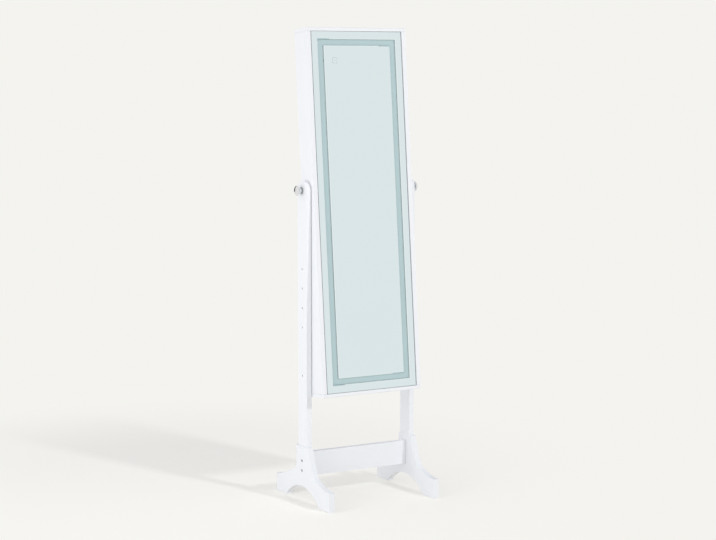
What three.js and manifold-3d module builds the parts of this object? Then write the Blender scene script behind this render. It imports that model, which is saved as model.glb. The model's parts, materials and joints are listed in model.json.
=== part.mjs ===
// A free-standing jewelry mirror cabinet: two arched feet and two posts carry a shallow
// cabinet on a pair of clamp knobs, so that it tilts between them. A mirror door with a
// lit band is let into the cabinet's front and hinged on pins along its left edge.
// Units are millimetres. X points right and Y back as seen by someone facing the mirror,
// Z up. The origin lies on the floor, midway between the posts.
// The cabinet and its door are built upright about the tilt axis, then leaned back.

import * as THREE from 'three';
import { mergeVertices } from 'three/addons/utils/BufferGeometryUtils.js';
import Module from 'manifold-3d';

const wasm = await Module();
wasm.setup();

// ---------------------------------------------------------------- driving dimensions

const fit = 0.3;                  // gap between pieces that touch or are glued together
const holeClearance = 0.35;       // radial room round a pin, bolt or dowel in its hole

// cabinet case
const cabinetWidth = 370;
const cabinetHeight = 1200;
const cabinetDepth = 85;
const sideThickness = 15;
const endThickness = 12;
const endRounding = 4.5;          // rounded front edge of the top and bottom panels
const backThickness = 4;
const backInset = 3;              // back panel lies this far inside the rear edges
const backGrooveDepth = 8;        // into the side panels
const tongueThickness = 6;        // side panels stand on tongues let into the end panels
const tongueLength = 6;
const tongueEndInset = 10;        // from the side panel's front edge and the back's groove
const liningThickness = 1.7;
const leanBack = 5.3;             // degrees, as the cabinet stands
const pivotAboveBase = 675.5;
const pivotBehindFront = 46;
const pivotGap = 1.7;             // between the cabinet's side and the post

// stand
const pivotHeight = 1028;
const postThickness = 18;
const postDepth = 62;
const postHoleRadius = 3.5;
const topHoleDrop = 256;          // from the tilt axis to the uppermost small hole
const postHolePitch = 64;
const postHoleCount = 4;
const lowHoleDrop = 160;          // from the row of holes to the single low one
const footThickness = 21;
const footReach = 188;            // from the middle of the post to the end of a toe
const frontToeHeight = 65;
const rearToeHeight = 58;
const toeLength = 77;
const archStep = 6;               // upright edge where the arch starts above the sole
const archRise = 44;
const stemShoulder = 9;           // foot's stem is this much wider than the post, each way
const stemTop = 185;
const instepReach = 48;           // hollow of the foot's front outline, out from the stem
const instepHeight = 88;
const heelReach = 33;             // hollow of the foot's rear outline, out from the stem
const heelHeight = 92.5;
const heelStart = 118;            // stem's rear edge is upright down to here
// Handles of the foot's curves: how far each runs from its end along Y, and along Z.
const shinHandle = [13, 35];
const upperInstepHandle = [24, 12];
const lowerInstepHandle = [22, 12];
const toeHandle = 38;
const rearToeHandleRise = 4;
const outerHeelHandle = [27, 10.5];
const innerHeelHandle = [15, 5.5];
const ankleHandle = [1, 14];
const stretcherThickness = 18;
const stretcherBottom = 85;
const stretcherTop = 165;
const screwHeights = [103, 136];
const screwRadius = 3;
const screwHeadRadius = 4.8;
const screwHeadThickness = 4;
const screwSocketRadius = 2.2;
const screwSocketDepth = 2.4;
const screwReach = 45;            // into the stretcher
const tenonThickness = 8;         // loose tenon between a foot's stem and its post
const tenonWidth = 36;
const tenonLength = 60;

// clamp knobs
const studRadius = 4;
const bushWall = 2.1;
const insertWall = 1.8;
const insertLength = 12;
const studSink = 11;              // into the cabinet's side
const pivotWasherRadius = 14;
const knobWasherRadius = 11;
const knobWasherThickness = 1.5;
const knobRadius = 16.3;
const knobNeckRadius = 7.5;
const knobNeckLength = 9;
const knobCapLength = 12.4;
const knobRimDistance = 6.6;      // from the cap's inner side to where it is widest
const studInKnob = 11;

// door
const hingeGap = 3;               // door's left edge to the side panel
const closingGap = 3;             // door's right edge to the side panel
const doorTopGap = 1;
const doorBottomGap = 1.2;
const doorRecess = 1;             // glass behind the case's front edges
const glassThickness = 4;
const boardThickness = 15;
const bandSideInset = 22.5;       // glass edge to the lit band
const bandEndInset = 25.5;
const bandWidth = 20.6;
const bandRecess = 5.5;           // diffuser's face behind the glass face
const diffuserThickness = 3;
const lampChannelWidth = 12;
const lampChannelDepth = 10;
const lampStripWidth = 8;
const lampStripThickness = 1.5;
const hingePinRadius = 2;
const hingePinFromEdge = 12;
const hingePinFromGlass = 7.5;
const hingePinInDoor = 12;
const hingePinInCase = 7.5;
const socketWall = 1.8;
const socketLength = 8.5;
const touchFromLeft = 81.4;       // glass edge to the touch switch's middle
const touchFromTop = 94.2;
const touchSize = 22;
const touchThickness = 3;
const leadRadius = 1.2;
const doorLiningInset = 16;
const strikeWidth = 14;
const strikeHeight = 32;
const strikeThickness = 1.5;
const strikeFromEdge = 4;
const magnetWidth = 13;
const magnetDepth = 12;
const magnetHeight = 40;
const lowerMagnetHeight = 350;    // above the cabinet's base, as all heights below
const upperMagnetDrop = 350;      // below the cabinet's top, as all drops below

// fittings inside
const shelfHeights = [150, 300, 450];
const shelfThickness = 9;
const shelfSetback = 34;          // shelf's front edge behind the case's front
const shelfHousing = 5;           // shelf's ends are let into the side panels
const guardRadius = 2;
const guardRise = 20;             // above the shelf
const guardInPanel = 4;
const guardInset = 4;
const braceletRodRadius = 8;
const braceletRodHeight = 95;
const braceletRodInPanel = 6;
const hookRailDrop = 320;
const hookRailTall = 20;
const hookRailThickness = 14;
const hookRailEndGap = 10;
const hookCount = 11;
const hookStripThickness = 1.5;
const hookStripTall = 11;
const hookStripEnd = 10;          // strip's end beyond its last hook
const hookWire = 1.3;
const hookReach = 14;
const hookRise = 9;
const hookBend = 4;
const earringPanelDrop = 275;
const earringPanelTall = 100;
const earringPanelThickness = 3;
const earringStandoff = 14;
const earringHoleRadius = 2;
const earringRows = 3;
const earringColumns = 15;
const earringHoleEdge = 30;       // from the side panels to the first column of holes
const earringRowEdge = 22;        // from the board's long edges to the first row
const trayDrop = 152;
const trayTall = 118;
const trayWide = 300;
const trayDepth = 26;
const trayWall = 5;
const trayFloor = 3;
const ringRolls = 6;
const ringRollBulge = 8;
const ringRollSetback = 1;        // behind the tray's front edge
const doorHookDrop = 235;
const doorHookCount = 9;
const batteryRadius = 7.1;
const batteryLength = 50;
const batteryCount = 4;
const batteryPitch = 14.8;
const batteryBoxWall = 2;
const batteryLidThickness = 1.8;

// ---------------------------------------------------------------- shared places

const caseHalf = cabinetWidth / 2;
const innerHalf = caseHalf - sideThickness;
const frontY = -pivotBehindFront;
const rearY = frontY + cabinetDepth;
const baseZ = -pivotAboveBase;
const crownZ = baseZ + cabinetHeight;
const innerBaseZ = baseZ + endThickness;
const innerCrownZ = crownZ - endThickness;
const backRearY = rearY - backInset;
const backFrontY = backRearY - backThickness;
const liningRearY = backFrontY - fit;
const liningFrontY = liningRearY - liningThickness;
const shelfFrontY = frontY + shelfSetback;

const postInner = caseHalf + pivotGap;
const postOuter = postInner + postThickness;
const footOuter = postInner + footThickness;
const postHalf = postDepth / 2;
const stemHalf = postHalf + stemShoulder;

const bushInner = studRadius + holeClearance;
const bushOuter = bushInner + bushWall;

const doorLeft = -innerHalf + hingeGap;
const doorRight = innerHalf - closingGap;
const doorBase = innerBaseZ + doorBottomGap;
const doorCrown = innerCrownZ - doorTopGap;
const glassFrontY = frontY + doorRecess;
const glassRearY = glassFrontY + glassThickness;
const boardFrontY = glassRearY + fit;
const boardRearY = boardFrontY + boardThickness;
const doorLiningRearY = boardRearY + fit + liningThickness;
const hingeX = doorLeft + hingePinFromEdge;
const hingeY = glassFrontY + hingePinFromGlass;
const touchX = doorLeft + touchFromLeft;
const touchZ = doorCrown - touchFromTop;
const diffuserFrontY = glassFrontY + bandRecess;
const diffuserRearY = diffuserFrontY + diffuserThickness;
const lampFloorY = boardFrontY + lampChannelDepth;

const heightInCase = (height) => baseZ + height;
const dropInCase = (drop) => crownZ - drop;
const magnetZs = [heightInCase(lowerMagnetHeight), dropInCase(upperMagnetDrop)];

// ---------------------------------------------------------------- materials

function material(color, roughness, metalness) {
  return new THREE.MeshStandardMaterial({ color, roughness, metalness });
}

const whiteLacquer = () => material(0xf6f6f7, 0.45, 0);
const mirrorGlass = () => material(0xd9e4e8, 0.03, 1);
const frostedAcrylic = () => material(0xb9ccd2, 0.55, 0);
const chrome = () => material(0xd8dadc, 0.1, 1);
const zincSteel = () => material(0xb4b6b8, 0.35, 1);
const brass = () => material(0xc2a562, 0.3, 1);
const nylon = () => material(0xe9e7e0, 0.5, 0);
const velvet = () => material(0xcfcac4, 0.95, 0);
const beech = () => material(0xd3ae7f, 0.6, 0);
const whitePlastic = () => material(0xf0f0ee, 0.4, 0);
const blackPlastic = () => material(0x26272a, 0.5, 0);
const copperBoard = () => material(0xe6e3d4, 0.5, 0);

// ---------------------------------------------------------------- solids

function toSolid(geometry) {
  const bare = geometry.index ? geometry.toNonIndexed() : geometry.clone();
  bare.deleteAttribute('normal');
  bare.deleteAttribute('uv');
  const merged = mergeVertices(bare, 1e-4);
  return new wasm.Manifold(new wasm.Mesh({
    numProp: 3,
    vertProperties: new Float32Array(merged.attributes.position.array),
    triVerts: new Uint32Array(merged.index.array),
  }));
}

function toGeometry(solid) {
  const mesh = solid.getMesh();
  const geometry = new THREE.BufferGeometry();
  geometry.setAttribute('position', new THREE.BufferAttribute(mesh.vertProperties, 3));
  geometry.setIndex(new THREE.BufferAttribute(mesh.triVerts, 1));
  return geometry;
}

function join(...geometries) {
  const [first, ...others] = geometries.map(toSolid);
  return toGeometry(others.reduce((whole, piece) => whole.add(piece), first));
}

function cut(geometry, ...tools) {
  const rest = tools.map(toSolid).reduce((solid, tool) => solid.subtract(tool), toSolid(geometry));
  return toGeometry(rest);
}

function box(x0, x1, y0, y1, z0, z1) {
  const block = new THREE.BoxGeometry(x1 - x0, y1 - y0, z1 - z0);
  return block.translate((x0 + x1) / 2, (y0 + y1) / 2, (z0 + z1) / 2);
}

const cylinderTurns = {
  x: (geometry) => geometry.rotateZ(-Math.PI / 2),
  y: (geometry) => geometry,
  z: (geometry) => geometry.rotateX(Math.PI / 2),
};

// A round bar along one axis; "place" gives its start on that axis and its middle on the others.
function bar(axis, radius, length, place, sides = 16) {
  const rod = cylinderTurns[axis](new THREE.CylinderGeometry(radius, radius, length, sides));
  const shift = { x: 0, y: 0, z: 0, ...place };
  shift[axis] += length / 2;
  return rod.translate(shift.x, shift.y, shift.z);
}

// A drill is a bar whose flats, not corners, lie at the radius, so that a round piece fits.
function drill(axis, radius, length, place, sides = 16) {
  return bar(axis, radius / Math.cos(Math.PI / sides), length, place, sides);
}

function ring(axis, outer, inner, length, place, sides = 24) {
  const through = { ...place, [axis]: place[axis] - 1 };
  return cut(bar(axis, outer, length, place, sides), drill(axis, inner, length + 2, through, sides));
}

// Outlines drawn in the YZ plane and given a thickness along X.
const alongX = new THREE.Matrix4().makeBasis(
  new THREE.Vector3(0, 1, 0), new THREE.Vector3(0, 0, 1), new THREE.Vector3(1, 0, 0));

function plateAlongX(outline, x0, x1, curveSegments = 12) {
  const settings = { depth: x1 - x0, bevelEnabled: false, curveSegments };
  return new THREE.ExtrudeGeometry(outline, settings).applyMatrix4(alongX).translate(x0, 0, 0);
}

// A rectangular frame lying in the XZ plane.
function frameRing(x0, x1, z0, z1, width, y0, y1) {
  const whole = box(x0, x1, y0, y1, z0, z1);
  return cut(whole, box(x0 + width, x1 - width, y0 - 1, y1 + 1, z0 + width, z1 - width));
}

function circleHole(y, z, radius) {
  const hole = new THREE.Path();
  hole.absarc(y, z, radius, 0, Math.PI * 2, true);
  return hole;
}

const sideName = (side) => (side < 0 ? 'left' : 'right');
const endName = (end) => (end < 0 ? 'lower' : 'upper');

// Start and end on X of a piece between two distances from the middle, on the given side.
const span = (side, near, far) => (side < 0 ? [-far, -near] : [near, far]);

// Evenly spaced values from one end to the other, or the middle where there is only one.
function evenly(count, from, to) {
  if (count === 1) return [(from + to) / 2];
  const step = (to - from) / (count - 1);
  return Array.from({ length: count }, (_, i) => from + step * i);
}

const whole = new THREE.Group();
whole.name = 'jewelry_mirror_cabinet';

const cabinet = new THREE.Group();
cabinet.position.z = pivotHeight;
cabinet.rotation.x = -THREE.MathUtils.degToRad(leanBack);
whole.add(cabinet);

function add(group, name, geometry, finish) {
  const mesh = new THREE.Mesh(geometry, finish);
  mesh.name = name;
  group.add(mesh);
}

// ---------------------------------------------------------------- stand: feet and posts

// Arc of the opening under the foot, from its front end to its rear end.
function archUnderFoot(outline, half) {
  const radius = (half * half + archRise * archRise) / (2 * archRise);
  const centreZ = archStep + archRise - radius;
  const endAngle = Math.atan2(archStep - centreZ, half);
  outline.absarc(0, centreZ, radius, Math.PI - endAngle, endAngle, true);
}

function footOutline() {
  const archHalf = footReach - toeLength;
  const instepY = stemHalf + instepReach;
  const heelY = stemHalf + heelReach;
  const outline = new THREE.Shape();
  outline.moveTo(-footReach, 0);
  outline.lineTo(-archHalf, 0);
  archUnderFoot(outline, archHalf);
  outline.lineTo(archHalf, 0);
  outline.lineTo(footReach, 0);
  outline.lineTo(footReach, rearToeHeight);
  outline.bezierCurveTo(
    footReach - toeHandle, rearToeHeight + rearToeHandleRise,
    heelY + outerHeelHandle[0], heelHeight - outerHeelHandle[1],
    heelY, heelHeight);
  outline.bezierCurveTo(
    heelY - innerHeelHandle[0], heelHeight + innerHeelHandle[1],
    stemHalf + ankleHandle[0], heelStart - ankleHandle[1],
    stemHalf, heelStart);
  outline.lineTo(stemHalf, stemTop);
  outline.lineTo(-stemHalf, stemTop);
  outline.bezierCurveTo(
    -stemHalf - shinHandle[0], stemTop - shinHandle[1],
    -instepY + upperInstepHandle[0], instepHeight + upperInstepHandle[1],
    -instepY, instepHeight);
  outline.bezierCurveTo(
    -instepY - lowerInstepHandle[0], instepHeight - lowerInstepHandle[1],
    -footReach + toeHandle, frontToeHeight,
    -footReach, frontToeHeight);
  return outline;
}

const postMiddle = (side) => side * (postInner + postThickness / 2);

// A loose tenon, or with room added the mortise for it, centred on the joint.
function tenon(side, room) {
  const x = postMiddle(side);
  const across = tenonThickness / 2 + room;
  const along = tenonWidth / 2 + room;
  const middle = stemTop + fit / 2;
  const reach = tenonLength / 2 + room;
  return box(x - across, x + across, -along, along, middle - reach, middle + reach);
}

function foot(side) {
  const [x0, x1] = span(side, postInner, footOuter);
  const head = span(side, footOuter - screwHeadThickness - 2 * fit, footOuter + 1);
  const tools = [tenon(side, fit)];
  for (const z of screwHeights) {
    tools.push(drill('x', screwRadius + holeClearance, footThickness + 2, { x: x0 - 1, z }));
    tools.push(drill('x', screwHeadRadius + holeClearance, head[1] - head[0], { x: head[0], z }));
  }
  return cut(plateAlongX(footOutline(), x0, x1, 10), ...tools);
}

function postOutline() {
  const footTop = stemTop + fit;
  const outline = new THREE.Shape();
  outline.moveTo(-postHalf, footTop);
  outline.lineTo(postHalf, footTop);
  outline.absarc(0, pivotHeight, postHalf, 0, Math.PI, false);
  outline.closePath();
  const firstHole = pivotHeight - topHoleDrop;
  const holes = Array.from({ length: postHoleCount }, (_, i) => firstHole - i * postHolePitch);
  holes.push(holes[postHoleCount - 1] - lowHoleDrop);
  outline.holes.push(...holes.map((z) => circleHole(0, z, postHoleRadius)));
  return outline;
}

function post(side) {
  const [x0, x1] = span(side, postInner, postOuter);
  const bore = drill('x', bushOuter + fit, postThickness + 2, { x: x0 - 1, z: pivotHeight }, 24);
  return cut(plateAlongX(postOutline(), x0, x1, 8), bore, tenon(side, fit));
}

for (const side of [-1, 1]) {
  add(whole, `${sideName(side)}_foot`, foot(side), whiteLacquer());
  add(whole, `${sideName(side)}_post`, post(side), whiteLacquer());
  add(whole, `${sideName(side)}_post_tenon`, tenon(side, 0), beech());
}

// ---------------------------------------------------------------- stand: stretcher and its screws

const stretcherEnd = postInner - fit;

function stretcher() {
  const half = stretcherThickness / 2;
  const body = box(-stretcherEnd, stretcherEnd, -half, half, stretcherBottom, stretcherTop);
  const tools = [-1, 1].flatMap((side) => screwHeights.map((z) => {
    const [x0, x1] = span(side, stretcherEnd - screwReach - fit, stretcherEnd + 1);
    return drill('x', screwRadius + holeClearance, x1 - x0, { x: x0, z });
  }));
  return cut(body, ...tools);
}

// A long screw with its flat head let into the foot and a hexagon socket in the head.
function stretcherScrew(side, z) {
  const headOuter = footOuter - fit;
  const [h0, h1] = span(side, headOuter - screwHeadThickness, headOuter);
  const [s0, s1] = span(side, stretcherEnd - screwReach, headOuter - screwHeadThickness + 1);
  const [k0, k1] = span(side, headOuter - screwSocketDepth, headOuter + 1);
  const head = bar('x', screwHeadRadius, h1 - h0, { x: h0, z });
  const shank = bar('x', screwRadius, s1 - s0, { x: s0, z }, 12);
  const socket = bar('x', screwSocketRadius, k1 - k0, { x: k0, z }, 6);
  return cut(join(head, shank), socket);
}

add(whole, 'stretcher', stretcher(), whiteLacquer());
for (const side of [-1, 1]) {
  screwHeights.forEach((z, i) => {
    add(whole, `${sideName(side)}_stretcher_screw_${i + 1}`, stretcherScrew(side, z), zincSteel());
  });
}

// ---------------------------------------------------------------- clamp knobs on the tilt axis

function pivotBush(side) {
  const [x0, x1] = span(side, postInner + fit, postOuter - fit);
  return ring('x', bushOuter, bushInner, x1 - x0, { x: x0, z: pivotHeight });
}

const knobStart = postOuter + fit + knobWasherThickness + fit;

const knobSides = 20;

// Half section of the mushroom knob: radius against distance out from the knob's inner face.
// The cap is two quarter ellipses that meet where it is widest.
function knobSection() {
  const bore = (studRadius + holeClearance) / Math.cos(Math.PI / knobSides);
  const widest = knobNeckLength + knobRimDistance;
  const dome = knobCapLength - knobRimDistance;
  const neckAngle = -Math.acos(knobNeckRadius / knobRadius);
  const section = [
    [0, studInKnob + fit],
    [bore, studInKnob + fit],
    [bore, 0],
    [knobNeckRadius, 0],
  ];
  for (const angle of evenly(10, neckAngle, Math.PI / 2)) {
    const rise = angle < 0 ? knobRimDistance : dome;
    section.push([knobRadius * Math.cos(angle), widest + rise * Math.sin(angle)]);
  }
  section[section.length - 1][0] = 0;
  return section.map(([radius, along]) => new THREE.Vector2(radius, along));
}

function knob(side) {
  const turned = new THREE.LatheGeometry(knobSection(), knobSides);
  return turned.rotateZ(-side * Math.PI / 2).translate(side * knobStart, 0, pivotHeight);
}

function knobStud(side) {
  const [x0, x1] = span(side, caseHalf - studSink, knobStart + studInKnob);
  return bar('x', studRadius, x1 - x0, { x: x0, z: pivotHeight });
}

function knobWasher(side) {
  const [x0, x1] = span(side, postOuter + fit, postOuter + fit + knobWasherThickness);
  return ring('x', knobWasherRadius, bushInner, x1 - x0, { x: x0, z: pivotHeight });
}

for (const side of [-1, 1]) {
  add(whole, `${sideName(side)}_knob`, toGeometry(toSolid(knob(side))), chrome());
  add(whole, `${sideName(side)}_knob_stud`, knobStud(side), zincSteel());
  add(whole, `${sideName(side)}_knob_washer`, knobWasher(side), zincSteel());
  add(whole, `${sideName(side)}_pivot_bush`, pivotBush(side), brass());
}

// ---------------------------------------------------------------- cabinet: the case

const shelfRearY = liningFrontY - fit;
const shelfBase = (height) => heightInCase(height);
const guardZ = (height) => heightInCase(height) + shelfThickness + guardRise;
const guardY = shelfFrontY + guardInset;
const earringRearY = shelfRearY - earringStandoff;
const earringFrontY = earringRearY - earringPanelThickness;
const earringZ = dropInCase(earringPanelDrop);
const braceletY = (shelfFrontY + shelfRearY) / 2;
const braceletZ = heightInCase(braceletRodHeight);

// The tongue on a side panel's end, or with room added the groove for it.
function tongue(side, end, room) {
  const middle = innerHalf + sideThickness / 2;
  const [x0, x1] = span(side, middle - tongueThickness / 2 - room, middle + tongueThickness / 2 + room);
  const y0 = frontY + tongueEndInset - room;
  const y1 = backFrontY - tongueEndInset + room;
  const reach = tongueLength + room;
  return end < 0
    ? box(x0, x1, y0, y1, innerBaseZ - reach, innerBaseZ + 1)
    : box(x0, x1, y0, y1, innerCrownZ - 1, innerCrownZ + reach);
}

function sidePanel(side) {
  const [x0, x1] = span(side, innerHalf, caseHalf);
  const board = box(x0, x1, frontY, rearY, innerBaseZ + fit, innerCrownZ - fit);
  const panel = join(board, tongue(side, -1, 0), tongue(side, 1, 0));
  const sunk = (depth) => span(side, innerHalf - 1, innerHalf + depth + fit);
  const backGroove = box(...sunk(backGrooveDepth), backFrontY - fit, backRearY + fit,
    innerBaseZ - 1, innerCrownZ + 1);
  const insertHole = span(side, caseHalf - insertLength - 2 * fit, caseHalf + 1);
  const insertRadius = bushInner + insertWall + holeClearance;
  const guardHole = sunk(guardInPanel);
  const rodHole = sunk(braceletRodInPanel);
  const rodPlace = { x: rodHole[0], y: braceletY, z: braceletZ };
  const tools = [
    backGroove,
    drill('x', insertRadius, insertHole[1] - insertHole[0], { x: insertHole[0] }),
    drill('x', braceletRodRadius + holeClearance, rodHole[1] - rodHole[0], rodPlace),
    box(...sunk(shelfHousing), earringFrontY - fit, earringRearY + fit,
      earringZ - fit, earringZ + earringPanelTall + fit),
  ];
  for (const height of shelfHeights) {
    const base = shelfBase(height);
    tools.push(box(...sunk(shelfHousing), shelfFrontY - fit, shelfRearY + fit,
      base - fit, base + shelfThickness + fit));
    const place = { x: guardHole[0], y: guardY, z: guardZ(height) };
    tools.push(drill('x', guardRadius + holeClearance, guardHole[1] - guardHole[0], place, 12));
  }
  return cut(panel, ...tools);
}

// Section of an end panel, in Y and Z, with the front outer edge rounded.
function endSection(innerZ, outerZ) {
  const outward = Math.sign(outerZ - innerZ);
  const outline = new THREE.Shape();
  outline.moveTo(rearY, innerZ);
  outline.lineTo(frontY, innerZ);
  outline.lineTo(frontY, outerZ - outward * endRounding);
  outline.quadraticCurveTo(frontY, outerZ, frontY + endRounding, outerZ);
  outline.lineTo(rearY, outerZ);
  return outline;
}

const socketOuter = hingePinRadius + holeClearance + socketWall;

// Panel across the top (end 1) or the bottom (end -1) of the case.
function endPanel(end) {
  const innerZ = end < 0 ? innerBaseZ : innerCrownZ;
  const outerZ = end < 0 ? baseZ : crownZ;
  const depth = socketLength + fit + 1;
  const socketZ = end < 0 ? innerZ + 1 - depth : innerZ - 1;
  const socketHole = drill('z', socketOuter + holeClearance, depth, { x: hingeX, y: hingeY, z: socketZ });
  const grooves = [-1, 1].map((side) => tongue(side, end, fit));
  return cut(plateAlongX(endSection(innerZ, outerZ), -caseHalf, caseHalf, 5), socketHole, ...grooves);
}

function backPanel() {
  const half = innerHalf + backGrooveDepth;
  return box(-half, half, backFrontY, backRearY, innerBaseZ + fit, innerCrownZ - fit);
}

function threadedInsert(side) {
  const [x0, x1] = span(side, caseHalf - fit - insertLength, caseHalf - fit);
  return ring('x', bushInner + insertWall, bushInner, x1 - x0, { x: x0 }, 16);
}

function pivotWasher(side) {
  const [x0, x1] = span(side, caseHalf + fit, caseHalf + pivotGap - fit);
  return ring('x', pivotWasherRadius, bushInner, x1 - x0, { x: x0 });
}

function hingeSocket(end) {
  const z = end < 0 ? innerBaseZ - socketLength : innerCrownZ;
  const place = { x: hingeX, y: hingeY, z };
  return ring('z', socketOuter, hingePinRadius + holeClearance, socketLength, place, 16);
}

for (const side of [-1, 1]) {
  add(cabinet, `${sideName(side)}_side_panel`, sidePanel(side), whiteLacquer());
  add(cabinet, `${sideName(side)}_threaded_insert`, threadedInsert(side), brass());
  add(cabinet, `${sideName(side)}_pivot_washer`, pivotWasher(side), nylon());
}
for (const end of [-1, 1]) {
  add(cabinet, end < 0 ? 'bottom_panel' : 'top_panel', endPanel(end), whiteLacquer());
  add(cabinet, `${endName(end)}_hinge_socket`, hingeSocket(end), brass());
}
add(cabinet, 'back_panel', backPanel(), whiteLacquer());
add(cabinet, 'back_lining', box(-innerHalf + fit, innerHalf - fit, liningFrontY, liningRearY,
  innerBaseZ + fit, innerCrownZ - fit), velvet());

// ---------------------------------------------------------------- cabinet: shelves and rails

function shelf(height) {
  const reach = innerHalf + shelfHousing;
  return box(-reach, reach, shelfFrontY, shelfRearY, shelfBase(height), shelfBase(height) + shelfThickness);
}

function guardRail(height) {
  const reach = innerHalf + guardInPanel;
  return bar('x', guardRadius, 2 * reach, { x: -reach, y: guardY, z: guardZ(height) }, 12);
}

function braceletRod() {
  const reach = innerHalf + braceletRodInPanel;
  return bar('x', braceletRodRadius, 2 * reach, { x: -reach, y: braceletY, z: braceletZ });
}

// The shelves are numbered from the lowest up.
shelfHeights.forEach((height, i) => {
  add(cabinet, `shelf_${i + 1}`, shelf(height), whiteLacquer());
  add(cabinet, `guard_rail_${i + 1}`, guardRail(height), chrome());
});
add(cabinet, 'bracelet_rod', braceletRod(), velvet());

// ---------------------------------------------------------------- cabinet: jewelry holders

// A bent wire hook: straight out of a face, then turned up. "outward" is -1 or 1 on Y.
function hook(x, rootY, z, outward) {
  const y = (distance) => rootY + outward * distance;
  const corner = hookBend * (1 - Math.SQRT1_2);
  const path = new THREE.CatmullRomCurve3([
    new THREE.Vector3(x, y(0), z),
    new THREE.Vector3(x, y(hookReach - hookBend), z),
    new THREE.Vector3(x, y(hookReach - corner), z + corner),
    new THREE.Vector3(x, y(hookReach), z + hookBend),
    new THREE.Vector3(x, y(hookReach), z + hookRise),
  ]);
  const section = new THREE.Shape();
  section.absarc(0, 0, hookWire, 0, Math.PI * 2, false);
  const settings = { extrudePath: path, steps: 7, curveSegments: 3, bevelEnabled: false };
  return new THREE.ExtrudeGeometry(section, settings);
}

// A flat metal strip with a row of hooks standing out of its face.
function hookStrip(xs, rearFaceY, z, outward) {
  const [y0, y1] = [rearFaceY, rearFaceY + outward * hookStripThickness].sort((a, b) => a - b);
  const strip = box(xs[0] - hookStripEnd, xs[xs.length - 1] + hookStripEnd, y0, y1,
    z - hookStripTall / 2, z + hookStripTall / 2);
  return join(strip, ...xs.map((x) => hook(x, (y0 + y1) / 2, z, outward)));
}

const hookRailHalf = innerHalf - hookRailEndGap;
const hookRailFaceY = shelfRearY - hookRailThickness;
const hookRailZ = dropInCase(hookRailDrop);
const hookXs = evenly(hookCount, -hookRailHalf + 2 * hookStripEnd, hookRailHalf - 2 * hookStripEnd);
const necklaceRail = box(-hookRailHalf, hookRailHalf, hookRailFaceY, shelfRearY,
  hookRailZ, hookRailZ + hookRailTall);
const necklaceHooks = hookStrip(hookXs, hookRailFaceY - fit, hookRailZ + hookRailTall / 2, -1);

// A perforated board held off the back, its ends let into the side panels.
function earringPanel() {
  const reach = innerHalf + shelfHousing;
  const board = box(-reach, reach, earringFrontY, earringRearY, earringZ, earringZ + earringPanelTall);
  const rows = evenly(earringRows, earringZ + earringRowEdge, earringZ + earringPanelTall - earringRowEdge);
  const columns = evenly(earringColumns, -innerHalf + earringHoleEdge, innerHalf - earringHoleEdge);
  return cut(board, ...columns.flatMap((x) => rows.map((z) => (
    bar('y', earringHoleRadius, earringPanelThickness + 2, { x, y: earringFrontY - 1, z }, 6)))));
}

const trayHalf = trayWide / 2;
const trayZ = dropInCase(trayDrop);
const trayFrontY = shelfRearY - trayDepth;

function ringTray() {
  const body = box(-trayHalf, trayHalf, trayFrontY, shelfRearY, trayZ, trayZ + trayTall);
  return cut(body, box(-trayHalf + trayWall, trayHalf - trayWall, trayFrontY - 1, shelfRearY - trayFloor,
    trayZ + trayWall, trayZ + trayTall - trayWall));
}

// A row of soft rolls lying across the tray; rings are pushed into the folds between them.
function ringCushion() {
  const low = trayZ + trayWall + fit;
  const pitch = (trayTall - 2 * (trayWall + fit)) / ringRolls;
  const foldY = trayFrontY + ringRollSetback + ringRollBulge;
  const rearFaceY = shelfRearY - trayFloor - fit;
  const outline = new THREE.Shape();
  outline.moveTo(rearFaceY, low);
  for (let i = 0; i < ringRolls; i += 1) {
    const middle = low + (i + 0.5) * pitch;
    outline.lineTo(foldY, low + i * pitch);
    outline.absellipse(foldY, middle, ringRollBulge, pitch / 2, -Math.PI / 2, Math.PI / 2, true);
  }
  outline.lineTo(rearFaceY, low + ringRolls * pitch);
  return plateAlongX(outline, -trayHalf + trayWall + fit, trayHalf - trayWall - fit, 4);
}

add(cabinet, 'necklace_rail', necklaceRail, whiteLacquer());
add(cabinet, 'necklace_hooks', necklaceHooks, chrome());
add(cabinet, 'earring_panel', earringPanel(), whiteLacquer());
add(cabinet, 'ring_tray', ringTray(), whiteLacquer());
add(cabinet, 'ring_cushion', toGeometry(toSolid(ringCushion())), velvet());

// ---------------------------------------------------------------- cabinet: magnetic catches

const magnetFrontY = boardRearY + fit;

function magnetCatch(z) {
  return box(innerHalf - fit - magnetWidth, innerHalf - fit, magnetFrontY, magnetFrontY + magnetDepth,
    z - magnetHeight / 2, z + magnetHeight / 2);
}

magnetZs.forEach((z, i) => {
  add(cabinet, `magnet_catch_${i + 1}`, magnetCatch(z), whitePlastic());
});

// ---------------------------------------------------------------- door: board and mirror panes

const bandLeft = doorLeft + bandSideInset;
const bandRight = doorRight - bandSideInset;
const bandBase = doorBase + bandEndInset;
const bandCrown = doorCrown - bandEndInset;
const lampEdge = (bandWidth - lampChannelWidth) / 2;
const strikeX = doorRight - strikeFromEdge - strikeWidth / 2;

function channel(width, inset, floorY) {
  return frameRing(bandLeft + inset, bandRight - inset, bandBase + inset, bandCrown - inset,
    width, boardFrontY - 1, floorY);
}

// The steel strike plate let into the door's rear face, or with room added its pocket.
function strike(z, room) {
  const across = strikeWidth / 2 + room;
  const along = strikeHeight / 2 + room;
  const rearFaceY = room > 0 ? boardRearY + 1 : boardRearY;
  return box(strikeX - across, strikeX + across, boardRearY - strikeThickness - room, rearFaceY,
    z - along, z + along);
}

const touchRearY = glassRearY + 2 * fit + touchThickness;
const leadY = lampFloorY - lampStripThickness - fit - 2 * leadRadius;
const batteryLeadHole = drill('y', leadRadius + holeClearance, boardThickness + 2,
  { x: touchX, y: boardFrontY - 1, z: touchZ }, 10);

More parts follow.
